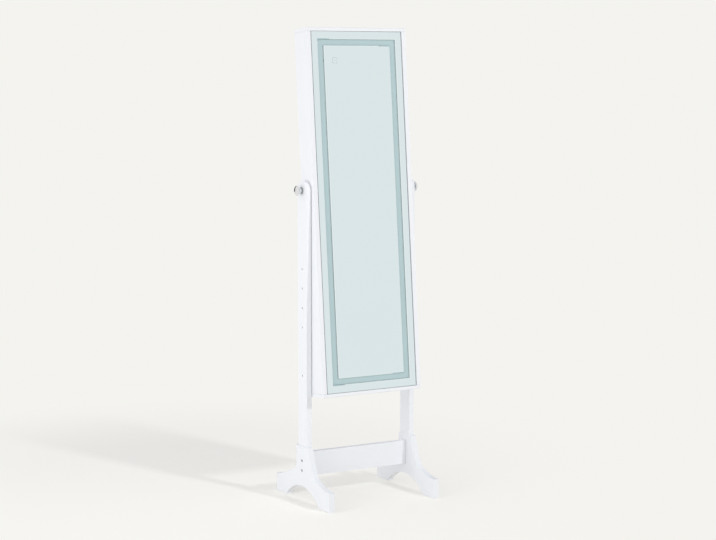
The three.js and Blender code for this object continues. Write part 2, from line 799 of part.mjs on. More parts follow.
function doorBoard() {
  const half = touchSize / 2 + fit;
  const leadRoom = leadRadius + holeClearance;
  const pinLength = hingePinInDoor + 1 + fit;
  const pinRoom = hingePinRadius + holeClearance;
  const pinHole = (z) => drill('z', pinRoom, pinLength, { x: hingeX, y: hingeY, z }, 12);
  const switchPocket = box(touchX - half, touchX + half, boardFrontY - 1, touchRearY + fit,
    touchZ - half, touchZ + half);
  const leadGroove = box(bandLeft + bandWidth / 2, touchX + leadRoom, boardFrontY - 1, leadY + leadRoom,
    touchZ - leadRoom, touchZ + leadRoom);
  return cut(box(doorLeft, doorRight, boardFrontY, boardRearY, doorBase, doorCrown),
    channel(bandWidth, 0, diffuserRearY + fit),
    channel(lampChannelWidth, lampEdge, lampFloorY),
    switchPocket,
    leadGroove,
    batteryLeadHole,
    pinHole(doorBase - 1),
    pinHole(doorCrown + 1 - pinLength),
    ...magnetZs.map((z) => strike(z, fit)));
}

const mirrorBorder = cut(box(doorLeft, doorRight, glassFrontY, glassRearY, doorBase, doorCrown),
  box(bandLeft, bandRight, glassFrontY - 1, glassRearY + 1, bandBase, bandCrown));
const mirrorCentre = box(bandLeft + bandWidth, bandRight - bandWidth, glassFrontY, glassRearY,
  bandBase + bandWidth, bandCrown - bandWidth);
const lightBand = frameRing(bandLeft + fit, bandRight - fit, bandBase + fit, bandCrown - fit,
  bandWidth - 2 * fit, diffuserFrontY, diffuserRearY);

add(cabinet, 'door_board', doorBoard(), whiteLacquer());
add(cabinet, 'mirror_border', mirrorBorder, mirrorGlass());
add(cabinet, 'mirror_centre', mirrorCentre, mirrorGlass());
add(cabinet, 'light_band', lightBand, frostedAcrylic());

// ---------------------------------------------------------------- door: lamp, switch and battery box

const stripInset = lampEdge + (lampChannelWidth - lampStripWidth) / 2;
const lampStrip = frameRing(bandLeft + stripInset, bandRight - stripInset, bandBase + stripInset,
  bandCrown - stripInset, lampStripWidth, lampFloorY - fit - lampStripThickness, lampFloorY - fit);

const touchSwitch = box(touchX - touchSize / 2, touchX + touchSize / 2, glassRearY + 2 * fit, touchRearY,
  touchZ - touchSize / 2, touchZ + touchSize / 2);

const batteryWide = batteryPitch * batteryCount + 2 * batteryBoxWall;
const batteryTall = batteryLength + 2 * fit + 2 * batteryBoxWall;
const batteryFloorY = boardRearY + fit;
const batteryRoomY = batteryFloorY + batteryBoxWall;
const batteryMouthY = batteryRoomY + 2 * (batteryRadius + fit);
const batteryLeft = touchX - batteryWide / 2;
const batteryBase = touchZ - batteryTall / 2;

// The box takes four cells side by side; its lid faces into the cabinet.
function batteryBox() {
  const body = box(batteryLeft, batteryLeft + batteryWide, batteryFloorY, batteryMouthY,
    batteryBase, batteryBase + batteryTall);
  const room = box(batteryLeft + batteryBoxWall, batteryLeft + batteryWide - batteryBoxWall,
    batteryRoomY, batteryMouthY + 1,
    batteryBase + batteryBoxWall, batteryBase + batteryTall - batteryBoxWall);
  const entry = { x: touchX, y: batteryFloorY - 1, z: touchZ };
  return cut(body, room, drill('y', leadRadius + holeClearance, batteryBoxWall + 2, entry, 10));
}

// The lamp's lead: out of the battery box, past the back of the switch and on to the lamp strip.
function lampLead() {
  const stripEdge = bandLeft + stripInset + lampStripWidth + fit;
  const run = touchX + leadRadius - stripEdge;
  const fromBox = bar('y', leadRadius, batteryRoomY - fit - leadY, { x: touchX, y: leadY, z: touchZ }, 8);
  const toStrip = bar('x', leadRadius, run, { x: stripEdge, y: leadY, z: touchZ }, 8);
  return join(fromBox, toStrip);
}

add(cabinet, 'lamp_strip', lampStrip, copperBoard());
add(cabinet, 'touch_switch', touchSwitch, blackPlastic());
add(cabinet, 'lamp_lead', lampLead(), blackPlastic());
add(cabinet, 'battery_box', batteryBox(), whitePlastic());
add(cabinet, 'battery_lid', box(batteryLeft, batteryLeft + batteryWide, batteryMouthY + fit,
  batteryMouthY + fit + batteryLidThickness, batteryBase, batteryBase + batteryTall), whitePlastic());

// ---------------------------------------------------------------- door: hinge pins, strikes, lining

function hingePin(end) {
  const length = hingePinInDoor + hingePinInCase;
  const z = end < 0 ? doorBase + hingePinInDoor - length : doorCrown - hingePinInDoor;
  return bar('z', hingePinRadius, length, { x: hingeX, y: hingeY, z }, 12);
}

const doorLiningLeft = doorLeft + doorLiningInset;
const doorLiningRight = doorRight - doorLiningInset - strikeFromEdge;

function doorLining() {
  const sheet = box(doorLiningLeft, doorLiningRight, boardRearY + fit, doorLiningRearY,
    doorBase + doorLiningInset, doorCrown - doorLiningInset);
  const boxWindow = box(batteryLeft - fit, batteryLeft + batteryWide + fit,
    boardRearY - 1, doorLiningRearY + 1, batteryBase - fit, batteryBase + batteryTall + fit);
  return cut(sheet, boxWindow);
}

const doorHookXs = evenly(doorHookCount, doorLiningLeft + 2 * hookStripEnd,
  doorLiningRight - 2 * hookStripEnd);
const doorHooks = hookStrip(doorHookXs, doorLiningRearY + fit, dropInCase(doorHookDrop), 1);

for (const end of [-1, 1]) {
  add(cabinet, `${endName(end)}_hinge_pin`, hingePin(end), zincSteel());
}
magnetZs.forEach((z, i) => {
  add(cabinet, `strike_plate_${i + 1}`, strike(z, 0), zincSteel());
});
add(cabinet, 'door_lining', doorLining(), velvet());
add(cabinet, 'door_hooks', doorHooks, chrome());

export default whole;
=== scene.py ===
# A free-standing jewelry mirror cabinet: a shallow white cabinet with a mirror door hangs between two
# posts on a pair of clamp knobs, over two arched feet and a stretcher. Its parts follow in the order
# in which they go together. Lengths are metres unless a name or a comment says millimetres.
import json
import math

import bmesh
import bpy
from mathutils import Matrix, Vector


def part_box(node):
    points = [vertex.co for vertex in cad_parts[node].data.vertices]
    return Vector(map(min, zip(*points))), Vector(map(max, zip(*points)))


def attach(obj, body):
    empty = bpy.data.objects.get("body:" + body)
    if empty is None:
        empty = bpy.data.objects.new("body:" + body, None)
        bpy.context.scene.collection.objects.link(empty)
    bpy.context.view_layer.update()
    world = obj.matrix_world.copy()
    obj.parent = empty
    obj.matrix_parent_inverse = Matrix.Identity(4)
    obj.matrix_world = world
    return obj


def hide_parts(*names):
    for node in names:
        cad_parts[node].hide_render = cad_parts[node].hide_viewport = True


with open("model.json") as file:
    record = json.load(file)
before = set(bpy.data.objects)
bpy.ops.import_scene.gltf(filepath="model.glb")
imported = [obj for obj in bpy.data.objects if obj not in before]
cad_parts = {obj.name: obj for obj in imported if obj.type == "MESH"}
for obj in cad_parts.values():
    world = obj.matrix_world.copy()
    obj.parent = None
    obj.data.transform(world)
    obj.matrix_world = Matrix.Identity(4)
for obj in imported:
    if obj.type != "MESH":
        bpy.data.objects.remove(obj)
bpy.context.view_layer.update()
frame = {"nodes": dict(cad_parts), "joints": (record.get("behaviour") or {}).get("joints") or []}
scene = bpy.context.scene

# ---- View ------------------------------------------------------------------------------------------
# The camera stands to the left of the mirror, a little above its middle, and looks slightly down.

CAMERA_SPOT = (-2.794, -4.987, 1.416)
HEADING = math.radians(29.3)
DOWNWARD_PITCH = math.radians(6.57)
LENS_MM = 87.235

camera = bpy.data.objects.new("camera", bpy.data.cameras.new("camera"))
camera.data.lens = LENS_MM
camera.data.sensor_width = 36.0
camera.location = CAMERA_SPOT
camera.rotation_euler = (math.pi / 2 - DOWNWARD_PITCH, 0.0, -HEADING)
scene.collection.objects.link(camera)
scene.camera = camera
scene.view_settings.view_transform = "Standard"

# ---- Feet ------------------------------------------------------------------------------------------
# Two arched feet, sawn from 21 mm board and moulded to shape, then sprayed with white satin lacquer.
# Each is drilled through for two screws whose flat heads lie in counterbores on the outer face.

MM = 0.001
FOOT_REACH = 188 * MM
TOE_LENGTH = 77 * MM
FRONT_TOE_HEIGHT = 65 * MM
REAR_TOE_HEIGHT = 58 * MM
ARCH_STEP = 6 * MM
ARCH_RISE = 44 * MM
STEM_HALF = 40 * MM
INSTEP = (-88 * MM, 88 * MM)
HEEL = (73 * MM, 92.5 * MM)
HEEL_START = 118 * MM
ARCH_STEPS = 36
HEEL_STEPS = 10
BOARD_EASING = 1.4 * MM
EASING_STEPS = 2
COUNTERBORE_RADIUS = 5.15 * MM
COUNTERBORE_DEPTH = 4.6 * MM
DRILL_OVERSHOOT = 1 * MM
DRILL_SIDES = 32
SIDES = {"left": -1, "right": 1}

# How far each curve's handle pulls from the point of the foot's outline that it belongs to.
REAR_TOE_PULL = (-38 * MM, 4 * MM)
HEEL_PULLS = ((27 * MM, -10.5 * MM), (-15 * MM, 5.5 * MM))
ANKLE_PULL = (1 * MM, -14 * MM)
SHIN_PULL = (-13 * MM, -35 * MM)
INSTEP_PULLS = ((24 * MM, 12 * MM), (-22 * MM, -12 * MM))
FRONT_TOE_PULL = (38 * MM, 0.0)

WELD_DISTANCE = 1e-6
SHARP_CORNER = math.radians(35)
NOISE_SPREAD = (0.3, 0.7)

# Plates are drawn flat and stood up with their thickness along X, or facing forward along Y.
ALONG_X = Matrix(((0, 0, 1, 0), (1, 0, 0, 0), (0, 1, 0, 0), (0, 0, 0, 1)))
FACING_FRONT = Matrix(((1, 0, 0, 0), (0, 0, -1, 0), (0, 1, 0, 0), (0, 0, 0, 1)))


def linear(hex_colour):
    """An sRGB hex colour as linear RGBA."""
    channels = [int(hex_colour[i:i + 2], 16) / 255 for i in (1, 3, 5)]
    return [c / 12.92 if c <= 0.04045 else ((c + 0.055) / 1.055) ** 2.4 for c in channels] + [1.0]


def add_node(tree, kind, settings):
    """Adds a node. Each setting goes to the input of that name or number, as a link where it is
    another node's output or a list of them, and otherwise to the node's own property."""
    node = tree.nodes.new(kind)
    for name, value in settings.items():
        if not isinstance(name, int) and name not in node.inputs:
            setattr(node, name, value)
            continue
        linked = bpy.types.NodeSocket
        sources = value if isinstance(value, list) and isinstance(value[0], linked) else [value]
        for source in sources:
            if isinstance(source, linked):
                tree.links.new(source, node.inputs[name])
            else:
                node.inputs[name].default_value = source
    return node


def noise(tree, size, detail=3.0, stretch=(1, 1, 1)):
    """Noise over the object, with features of about that size in metres."""
    coordinates = add_node(tree, "ShaderNodeTexCoord", {})
    place = add_node(tree, "ShaderNodeMapping", {
        "Vector": coordinates.outputs["Object"], "Scale": stretch})
    return add_node(tree, "ShaderNodeTexNoise", {
        "Vector": place.outputs[0], "Scale": 1 / size, "Detail": detail}).outputs["Fac"]


def material(name, colour, roughness, relief, settings):
    """A material whose colour, roughness and relief wander over the object. Colour and roughness give
    their two ends and the relief its depth in metres, each followed by the arguments of its noise."""
    made = bpy.data.materials.new(name)
    made.use_nodes = True
    tree = made.node_tree
    tree.nodes.clear()
    dark, light, *grain = colour
    tint = add_node(tree, "ShaderNodeMix", {
        "data_type": "RGBA", 0: noise(tree, *grain), 6: linear(dark), 7: linear(light)})
    low, high, *grain = roughness
    gloss = add_node(tree, "ShaderNodeMapRange", {
        "Value": noise(tree, *grain), "From Min": NOISE_SPREAD[0], "From Max": NOISE_SPREAD[1],
        "To Min": low, "To Max": high})
    depth, *grain = relief
    bump = add_node(tree, "ShaderNodeBump", {
        "Height": noise(tree, *grain), "Distance": depth, "Strength": 1.0})
    principled = add_node(tree, "ShaderNodeBsdfPrincipled", {
        "Base Color": tint.outputs[2], "Roughness": gloss.outputs[0], "Normal": bump.outputs[0],
        **settings})
    add_node(tree, "ShaderNodeOutputMaterial", {"Surface": principled.outputs[0]})
    return made


# Satin polyurethane lacquer, sprayed on board: even and soft in gloss, with a faint orange peel whose
# cells are about 3 mm across.
satin_lacquer = material(
    "satin_white_lacquer",
    colour=("#F1F3F7", "#F4F6F9", 0.18),
    roughness=(0.36, 0.42, 0.012),
    relief=(0.000012, 0.003, 1.0),
    settings={"IOR": 1.5})


def new_piece(name, mesh, finish, body, replaced=()):
    """Puts a finished mesh in the scene as a piece of a body, in place of the CAD nodes named."""
    piece = bpy.data.objects.new(name, mesh)
    scene.collection.objects.link(piece)
    mesh.materials.clear()
    for one in finish if isinstance(finish, list) else [finish]:
        mesh.materials.append(one)
    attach(piece, body)
    if replaced:
        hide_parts(*replaced)
    return piece


def even_shading(piece):
    """Smooth shading that keeps the large faces flat and the true corners sharp."""
    piece.data.shade_smooth()
    piece.data.set_sharp_from_angle(angle=SHARP_CORNER)
    piece.modifiers.new("face_weighted_normals", "WEIGHTED_NORMAL").keep_sharp = True


def merged(mesh, outward=True):
    """Merges a mesh's doubles and, unless they point the right way already, turns its faces outward."""
    shape = bmesh.new()
    shape.from_mesh(mesh)
    bmesh.ops.remove_doubles(shape, verts=shape.verts, dist=WELD_DISTANCE)
    if outward:
        bmesh.ops.recalc_face_normals(shape, faces=shape.faces)
    shape.to_mesh(mesh)
    shape.free()
    return mesh


def plate(name, outlines, near, far, easing, stand):
    """A plate cut to closed outlines, holes among them, between two depths, with eased edges."""
    curve = bpy.data.curves.new(name, "CURVE")
    curve.dimensions = "2D"
    curve.fill_mode = "BOTH"
    curve.extrude = (far - near) / 2 - easing
    curve.bevel_depth = easing
    curve.bevel_resolution = EASING_STEPS
    curve.offset = -easing
    for outline in outlines:
        spline = curve.splines.new("POLY")
        spline.points.add(len(outline) - 1)
        spline.use_cyclic_u = True
        for point, (across, up) in zip(spline.points, outline):
            point.co = (across, up, 0.0, 1.0)
    drawn = bpy.data.objects.new(name, curve)
    mesh = bpy.data.meshes.new_from_object(drawn)
    bpy.data.objects.remove(drawn)
    bpy.data.curves.remove(curve)
    mesh.transform(stand @ Matrix.Translation((0, 0, (near + far) / 2)))
    return merged(mesh)


def bezier(start, start_pull, end_pull, end, steps=18):
    """Points of a cubic curve after its start."""
    handles = (start, (start[0] + start_pull[0], start[1] + start_pull[1]),
               (end[0] + end_pull[0], end[1] + end_pull[1]), end)
    found = []
    for i in range(1, steps + 1):
        t = i / steps
        weights = ((1 - t) ** 3, 3 * t * (1 - t) ** 2, 3 * t * t * (1 - t), t ** 3)
        found.append(tuple(sum(w * point[k] for w, point in zip(weights, handles)) for k in (0, 1)))
    return found


def arc(centre, radius, start, end, steps):
    """Points along an arc, its ends included, between two angles in radians."""
    angles = [start + (end - start) * i / steps for i in range(steps + 1)]
    return [(centre[0] + radius * math.cos(a), centre[1] + radius * math.sin(a)) for a in angles]


def circle(centre, radius, corners):
    """The corners of a round hole or dot."""
    return arc(centre, radius, 0.0, 2 * math.pi * (corners - 1) / corners, corners - 1)


def foot_outline(stem_top):
    """The foot seen from its side: the front is at the left of the outline."""
    arch_half = FOOT_REACH - TOE_LENGTH
    radius = (arch_half ** 2 + ARCH_RISE ** 2) / (2 * ARCH_RISE)
    centre = (0.0, ARCH_STEP + ARCH_RISE - radius)
    end = math.atan2(ARCH_STEP - centre[1], arch_half)
    rear_toe = (FOOT_REACH, REAR_TOE_HEIGHT)
    front_toe = (-FOOT_REACH, FRONT_TOE_HEIGHT)
    ankle = (STEM_HALF, HEEL_START)
    shin = (-STEM_HALF, stem_top)
    points = [(-FOOT_REACH, 0.0), (-arch_half, 0.0)]
    points += arc(centre, radius, math.pi - end, end, ARCH_STEPS)
    points += [(arch_half, 0.0), (FOOT_REACH, 0.0), rear_toe]
    points += bezier(rear_toe, REAR_TOE_PULL, HEEL_PULLS[0], HEEL)
    points += bezier(HEEL, HEEL_PULLS[1], ANKLE_PULL, ankle, HEEL_STEPS)
    points += [(STEM_HALF, stem_top), shin]
    points += bezier(shin, SHIN_PULL, INSTEP_PULLS[0], INSTEP)
    points += bezier(INSTEP, INSTEP_PULLS[1], FRONT_TOE_PULL, front_toe)
    return points


def mesh_of(shape, name):
    """A new mesh from a finished bmesh, which is freed."""
    mesh = bpy.data.meshes.new(name)
    shape.to_mesh(mesh)
    shape.free()
    return mesh


def drilled(mesh, holes):
    """Cuts round holes along X into a mesh; a hole is (start X, end X, Y, Z, radius)."""
    target = bpy.data.objects.new("drilled", mesh)
    scene.collection.objects.link(target)
    drills = []
    for x0, x1, y, z, radius in holes:
        shape = bmesh.new()
        bmesh.ops.create_cone(shape, cap_ends=True, segments=DRILL_SIDES, radius1=radius,
                              radius2=radius, depth=x1 - x0)
        bit_mesh = mesh_of(shape, "drill")
        bit_mesh.transform(
            Matrix.Translation(((x0 + x1) / 2, y, z)) @ Matrix.Rotation(math.pi / 2, 4, "Y"))
        bit = bpy.data.objects.new("drill", bit_mesh)
        scene.collection.objects.link(bit)
        drills.append(bit)
        cut = target.modifiers.new("hole", "BOOLEAN")
        cut.operation = "DIFFERENCE"
        cut.solver = "EXACT"
        cut.object = bit
    bpy.context.view_layer.update()
    evaluated = target.evaluated_get(bpy.context.evaluated_depsgraph_get())
    result = bpy.data.meshes.new_from_object(evaluated)
    for used in [target, *drills]:
        bpy.data.objects.remove(used)
    return result


for side, sign in SIDES.items():
    low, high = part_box(f"{side}_foot")
    foot_mesh = plate(
        f"{side}_foot_board", [foot_outline(high.z)], low.x, high.x, BOARD_EASING, ALONG_X)
    counterbores = []
    for number in (1, 2):
        head_low, head_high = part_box(f"{side}_stretcher_screw_{number}")
        z = (head_low.z + head_high.z) / 2
        outer = high.x if sign > 0 else low.x
        ends = sorted((outer - sign * COUNTERBORE_DEPTH, outer + sign * DRILL_OVERSHOOT))
        counterbores.append((*ends, 0.0, z, COUNTERBORE_RADIUS))
    foot = new_piece(f"{side}_foot_board", drilled(foot_mesh, counterbores), satin_lacquer,
                     "stand", [f"{side}_foot"])
    even_shading(foot)

# ---- Posts -----------------------------------------------------------------------------------------
# Two flat 18 mm boards with a rounded top, drilled with a row of small holes and a bore for the pivot
# bush. Each stands on its foot over a loose beech tenon, which is glued in and doesn't show. The
# board runs a little into the foot, so that its eased lower end leaves no groove.

HOLE_RADIUS = 3.5 * MM
HOLE_DROPS = [256 * MM, 320 * MM, 384 * MM, 448 * MM, 608 * MM]
BUSH_RADIUS = 6.75 * MM
HOLE_CORNERS = 24
BUSH_CORNERS = 32
POST_EASING = 0.9 * MM
ROUND_TOP_STEPS = 40

tilt = next(joint for joint in frame["joints"] if joint["name"] == "cabinet_tilt")
pivot = Vector(tilt["pos_m"])

for side in SIDES:
    low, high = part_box(f"{side}_post")
    stem_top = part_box(f"{side}_foot")[1].z
    foot_end = stem_top - POST_EASING
    outline = [(-high.y, foot_end), (high.y, foot_end)]
    outline += arc((0.0, pivot.z), high.y, 0.0, math.pi, ROUND_TOP_STEPS)
    holes = [circle((0.0, pivot.z - drop), HOLE_RADIUS, HOLE_CORNERS) for drop in HOLE_DROPS]
    holes.append(circle((0.0, pivot.z), BUSH_RADIUS, BUSH_CORNERS))
    post_mesh = plate(f"{side}_post_board", [outline, *holes], low.x, high.x, POST_EASING, ALONG_X)
    post = new_piece(f"{side}_post_board", post_mesh, satin_lacquer, "stand",
                     [f"{side}_post"])
    even_shading(post)

# Steamed beech, planed: pale pinkish brown with fine streaks along the grain, 1 mm apart.
planed_beech = material(
    "planed_beech",
    colour=("#C79C6C", "#DDBB8E", 0.001, 4.0, (1, 1, 0.05)),
    roughness=(0.5, 0.62, 0.002),
    relief=(0.00003, 0.0008, 2.0, (1, 1, 0.04)),
    settings={"IOR": 1.5})


def dress(node, finish):
    """Gives a CAD node that stays as it is its finish."""
    mesh = frame["nodes"][node].data
    mesh.materials.clear()
    mesh.materials.append(finish)


for side in SIDES:
    dress(f"{side}_post_tenon", planed_beech)

# ---- Stretcher and its screws ----------------------------------------------------------------------
# A lacquered board on edge between the feet. Two long zinc-plated screws a side go through the foot
# into its ends; their flat heads have a hexagon socket.

STRETCHER_EASING = 1.2 * MM
SCREW_EASING = 0.25 * MM
FLAT_WITHIN = math.radians(0.5)
ROUNDED_FROM = math.radians(40)


def eased(node, finish, body, width, segments=EASING_STEPS):
    """A copy of a CAD node with its facets merged and its edges rounded, in the node's place."""
    mesh = merged(frame["nodes"][node].data.copy(), outward=False)
    shape = bmesh.new()
    shape.from_mesh(mesh)
    bmesh.ops.dissolve_limit(shape, angle_limit=FLAT_WITHIN, verts=shape.verts, edges=shape.edges)
    shape.to_mesh(mesh)
    shape.free()
    if "custom_normal" in mesh.attributes:
        mesh.attributes.remove(mesh.attributes["custom_normal"])
    piece = new_piece(f"{node}_eased", mesh, finish, body, [node])
    rounding = piece.modifiers.new("eased_edges", "BEVEL")
    rounding.width = width
    rounding.segments = segments
    rounding.limit_method = "ANGLE"
    rounding.angle_limit = ROUNDED_FROM
    rounding.miter_outer = "MITER_ARC"
    even_shading(piece)
    return piece


eased("stretcher", satin_lacquer, "stand", STRETCHER_EASING)

# Bright zinc plating on steel: cool grey and softly glossy, with a barely mottled surface.
zinc_plate = material(
    "bright_zinc_plate",
    colour=("#A9ADB2", "#BFC2C6", 0.004),
    roughness=(0.28, 0.4, 0.002),
    relief=(0.000008, 0.0006, 1.0),
    settings={"Metallic": 1.0})

for side in SIDES:
    for number in (1, 2):
        eased(f"{side}_stretcher_screw_{number}", zinc_plate, "stand", SCREW_EASING)

# ---- Clamp knobs -----------------------------------------------------------------------------------
# A mushroom knob each side, turned from brass and chrome plated, on a steel stud that passes through a
# brass bush in the post and screws into a brass insert in the cabinet. A thin steel washer sits under
# the knob and a nylon one in the gap between post and cabinet.

KNOB_STEPS = 64
CAP_STEPS = 24
CAP_RADIUS = 16.3 * MM
CAP_UNDERSIDE = 6.6 * MM
NECK_LENGTH, NECK_RADIUS = 9 * MM, 7.5 * MM
NECK_CHAMFER = 0.4 * MM
NECK_GROOVE = (2.2 * MM, 2.4 * MM, 3.4 * MM, 3.6 * MM)
GROOVE_DEPTH = 0.5 * MM
BORE_DEPTH, BORE_RADIUS = 11.3 * MM, 4.4 * MM
WASHER_EASING = 0.3 * MM
SHARP_TURNING = math.radians(38)

# Decorative chrome over nickel: a near mirror, faintly cool.
plated_chrome = material(
    "plated_chrome",
    colour=("#E3E6E9", "#EAECEE", 0.02),
    roughness=(0.06, 0.1, 0.006),
    relief=(0.000004, 0.004, 1.0),
    settings={"Metallic": 1.0})

# Turned brass, left bare: warm yellow with fine turning marks.
turned_brass = material(
    "turned_brass",
    colour=("#B9964F", "#CBAA66", 0.003),
    roughness=(0.22, 0.34, 0.001),
    relief=(0.00001, 0.0005, 1.0, (4, 1, 1)),
    settings={"Metallic": 1.0})

# Natural polyamide, moulded: waxy off-white.
moulded_nylon = material(
    "moulded_nylon",
    colour=("#DEDCD2", "#E9E7DE", 0.01),
    roughness=(0.42, 0.52, 0.004),
    relief=(0.00001, 0.0007, 1.0),
    settings={"IOR": 1.53})


def turned(name, profile, start, direction, steps=KNOB_STEPS):
    """A turned piece with its axis along X: the profile is (distance along, radius) from "start"."""
    shape = bmesh.new()
    rings = []
    for along, radius in profile:
        x = start.x + direction * along
        if radius == 0.0:
            rings.append([shape.verts.new((x, start.y, start.z))])
            continue
        angles = [2 * math.pi * i / steps for i in range(steps)]
        rings.append([shape.verts.new((
            x, start.y + radius * math.cos(a), start.z + radius * math.sin(a))) for a in angles])
    for first, second in zip(rings, rings[1:]):
        for i in range(steps):
            j = (i + 1) % steps
            corners = [first[i % len(first)], first[j % len(first)],
                       second[j % len(second)], second[i % len(second)]]
            corners = [c for k, c in enumerate(corners) if c not in corners[:k]]
            if len(corners) > 2:
                shape.faces.new(corners)
    bmesh.ops.recalc_face_normals(shape, faces=shape.faces)
    mesh = mesh_of(shape, name)
    mesh.shade_smooth()
    mesh.set_sharp_from_angle(angle=SHARP_TURNING)
    return mesh


def knob_profile(length):
    """From the end of the bore along the neck, with its groove, and over the cap of two ellipses."""
    widest = NECK_LENGTH + CAP_UNDERSIDE
    groove_radii = (NECK_RADIUS, NECK_RADIUS - GROOVE_DEPTH, NECK_RADIUS - GROOVE_DEPTH, NECK_RADIUS)
    profile = [(BORE_DEPTH, 0.0), (BORE_DEPTH, BORE_RADIUS), (0.0, BORE_RADIUS),
               (0.0, NECK_RADIUS - NECK_CHAMFER), (NECK_CHAMFER, NECK_RADIUS)]
    profile += zip(NECK_GROOVE, groove_radii)
    first = -math.acos(NECK_RADIUS / CAP_RADIUS)
    for i in range(CAP_STEPS + 1):
        angle = first + (math.pi / 2 - first) * i / CAP_STEPS
        rise = widest - NECK_LENGTH if angle < 0 else length - widest
        radius = CAP_RADIUS * math.cos(angle) if i < CAP_STEPS else 0.0
        profile.append((widest + rise * math.sin(angle), radius))
    return profile


for side, sign in SIDES.items():
    low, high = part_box(f"{side}_knob")
    inner = Vector((low.x if sign > 0 else high.x, 0.0, pivot.z))
    knob_mesh = turned(f"{side}_knob_chromed", knob_profile(high.x - low.x), inner, sign)
    new_piece(f"{side}_knob_chromed", knob_mesh, plated_chrome, f"{side}_knob",
              [f"{side}_knob"])
    eased(f"{side}_knob_washer", zinc_plate, f"{side}_knob", WASHER_EASING)
    dress(f"{side}_knob_stud", zinc_plate)
    dress(f"{side}_pivot_bush", turned_brass)
    dress(f"{side}_threaded_insert", turned_brass)
    eased(f"{side}_pivot_washer", moulded_nylon, "cabinet", WASHER_EASING)

# ---- Case ------------------------------------------------------------------------------------------
# Two 15 mm sides stand on tongues in the 12 mm top and bottom, all lacquered board with eased edges.
# The back is white-faced hardboard, let into grooves. Brass sockets in both ends take the hinge pins.

CASE_EASING = 1.0 * MM
BACK_EASING = 0.4 * MM

for node in ("left_side_panel", "right_side_panel", "top_panel", "bottom_panel"):
    eased(node, satin_lacquer, "cabinet", CASE_EASING)

# Hardboard with a white printed face: flatter than the lacquer, with a fine fibrous tooth.
faced_hardboard = material(
    "white_faced_hardboard",
    colour=("#ECEDEE", "#F1F2F3", 0.05),
    roughness=(0.52, 0.62, 0.003),
    relief=(0.00002, 0.0012, 3.0),
    settings={"IOR": 1.5})

eased("back_panel", faced_hardboard, "cabinet", BACK_EASING)
for end in ("upper", "lower"):
    dress(f"{end}_hinge_socket", turned_brass)

# ---- Linings ---------------------------------------------------------------------------------------
# Thin card covered in short-pile grey-beige velvet, glued to the back and to the inside of the door.
# The pile turns over the card's edges.

LINING_EASING = 0.7 * MM
LINING_EASING_STEPS = 3

# Cotton velvet: deep and matt, paler at a glancing angle, its pile brushed in soft patches. The pile
# is drawn at 0.8 mm, coarser than the real 0.3 mm, so that it shows.
pile_velvet = material(
    "short_pile_velvet",
    colour=("#BDB6AE", "#CDC7C0", 0.06, 4.0),
    roughness=(0.86, 0.96, 0.02),
    relief=(0.00025, 0.0008, 2.0),
    settings={"Sheen Weight": 0.6, "Sheen Roughness": 0.45, "Sheen Tint": linear("#E9E4DE"),
              "IOR": 1.45})

for node, body in (("back_lining", "cabinet"), ("door_lining", "door")):
    eased(node, pile_velvet, body, LINING_EASING, LINING_EASING_STEPS)

# ---- Shelves and guard rails -----------------------------------------------------------------------
# Three lacquered shelves let into the sides, each with a chromed rail across its front that is held in
# small turned collars.

hinge = next(joint for joint in frame["joints"] if joint["name"] == "door_hinge")
lean = math.atan2(hinge["axis"][1], hinge["axis"][2])
leaning = Matrix.Translation(pivot) @ Matrix.Rotation(-lean, 4, "X")


def leaning_box(node):
    """A CAD node's lowest and highest corner along the leaning cabinet's own axes."""
    upright = leaning.inverted()
    corners = [upright @ vertex.co for vertex in frame["nodes"][node].data.vertices]
    return (Vector([min(c[i] for c in corners) for i in range(3)]),
            Vector([max(c[i] for c in corners) for i in range(3)]))


SHELF_EASING = 0.9 * MM
RAIL_SIDES = 32
RAIL_COLLAR = 2.0 * MM
COLLAR_RADIUS = 4.0 * MM
COLLAR_CHAMFER = 0.4 * MM
LINING_GAP = 0.3 * MM

# The lining stops just short of the sides, so its half width and that gap give the inner face.
inner_half = leaning_box("back_lining")[1].x + LINING_GAP

for number in (1, 2, 3):
    eased(f"shelf_{number}", satin_lacquer, "cabinet", SHELF_EASING)
    low, high = leaning_box(f"guard_rail_{number}")
    radius = (high.z - low.z) / 2
    sunk = high.x - inner_half
    length = high.x - low.x
    collar_end = sunk + RAIL_COLLAR
    half_profile = [(0.0, 0.0), (0.0, radius), (sunk, radius),
                    (sunk, COLLAR_RADIUS - COLLAR_CHAMFER), (sunk + COLLAR_CHAMFER, COLLAR_RADIUS),
                    (collar_end - COLLAR_CHAMFER, COLLAR_RADIUS),
                    (collar_end, COLLAR_RADIUS - COLLAR_CHAMFER), (collar_end, radius)]
    profile = half_profile + [(length - along, r) for along, r in reversed(half_profile)]
    start = Vector((low.x, (low.y + high.y) / 2, (low.z + high.z) / 2))
    rail_mesh = turned(f"guard_rail_{number}_chromed", profile, start, 1, RAIL_SIDES)
    rail_mesh.transform(leaning)
    new_piece(f"guard_rail_{number}_chromed", rail_mesh, plated_chrome, "cabinet",
              [f"guard_rail_{number}"])

# ---- Bracelet rod ----------------------------------------------------------------------------------
# A wooden rod padded with wadding and sewn into a velvet sleeve, its ends let into the sides. The
# sleeve is slightly fuller between its gathered ends.

ROD_STATIONS = 72
ROD_SIDES = 40
ROD_SLACK = 0.15 * MM
ROD_GATHER = 0.9 * MM
GATHER_REACH = 12 * MM
ROD_RIPPLE = 0.12 * MM
RIPPLE_LENGTHS = (9 * MM, 23 * MM)

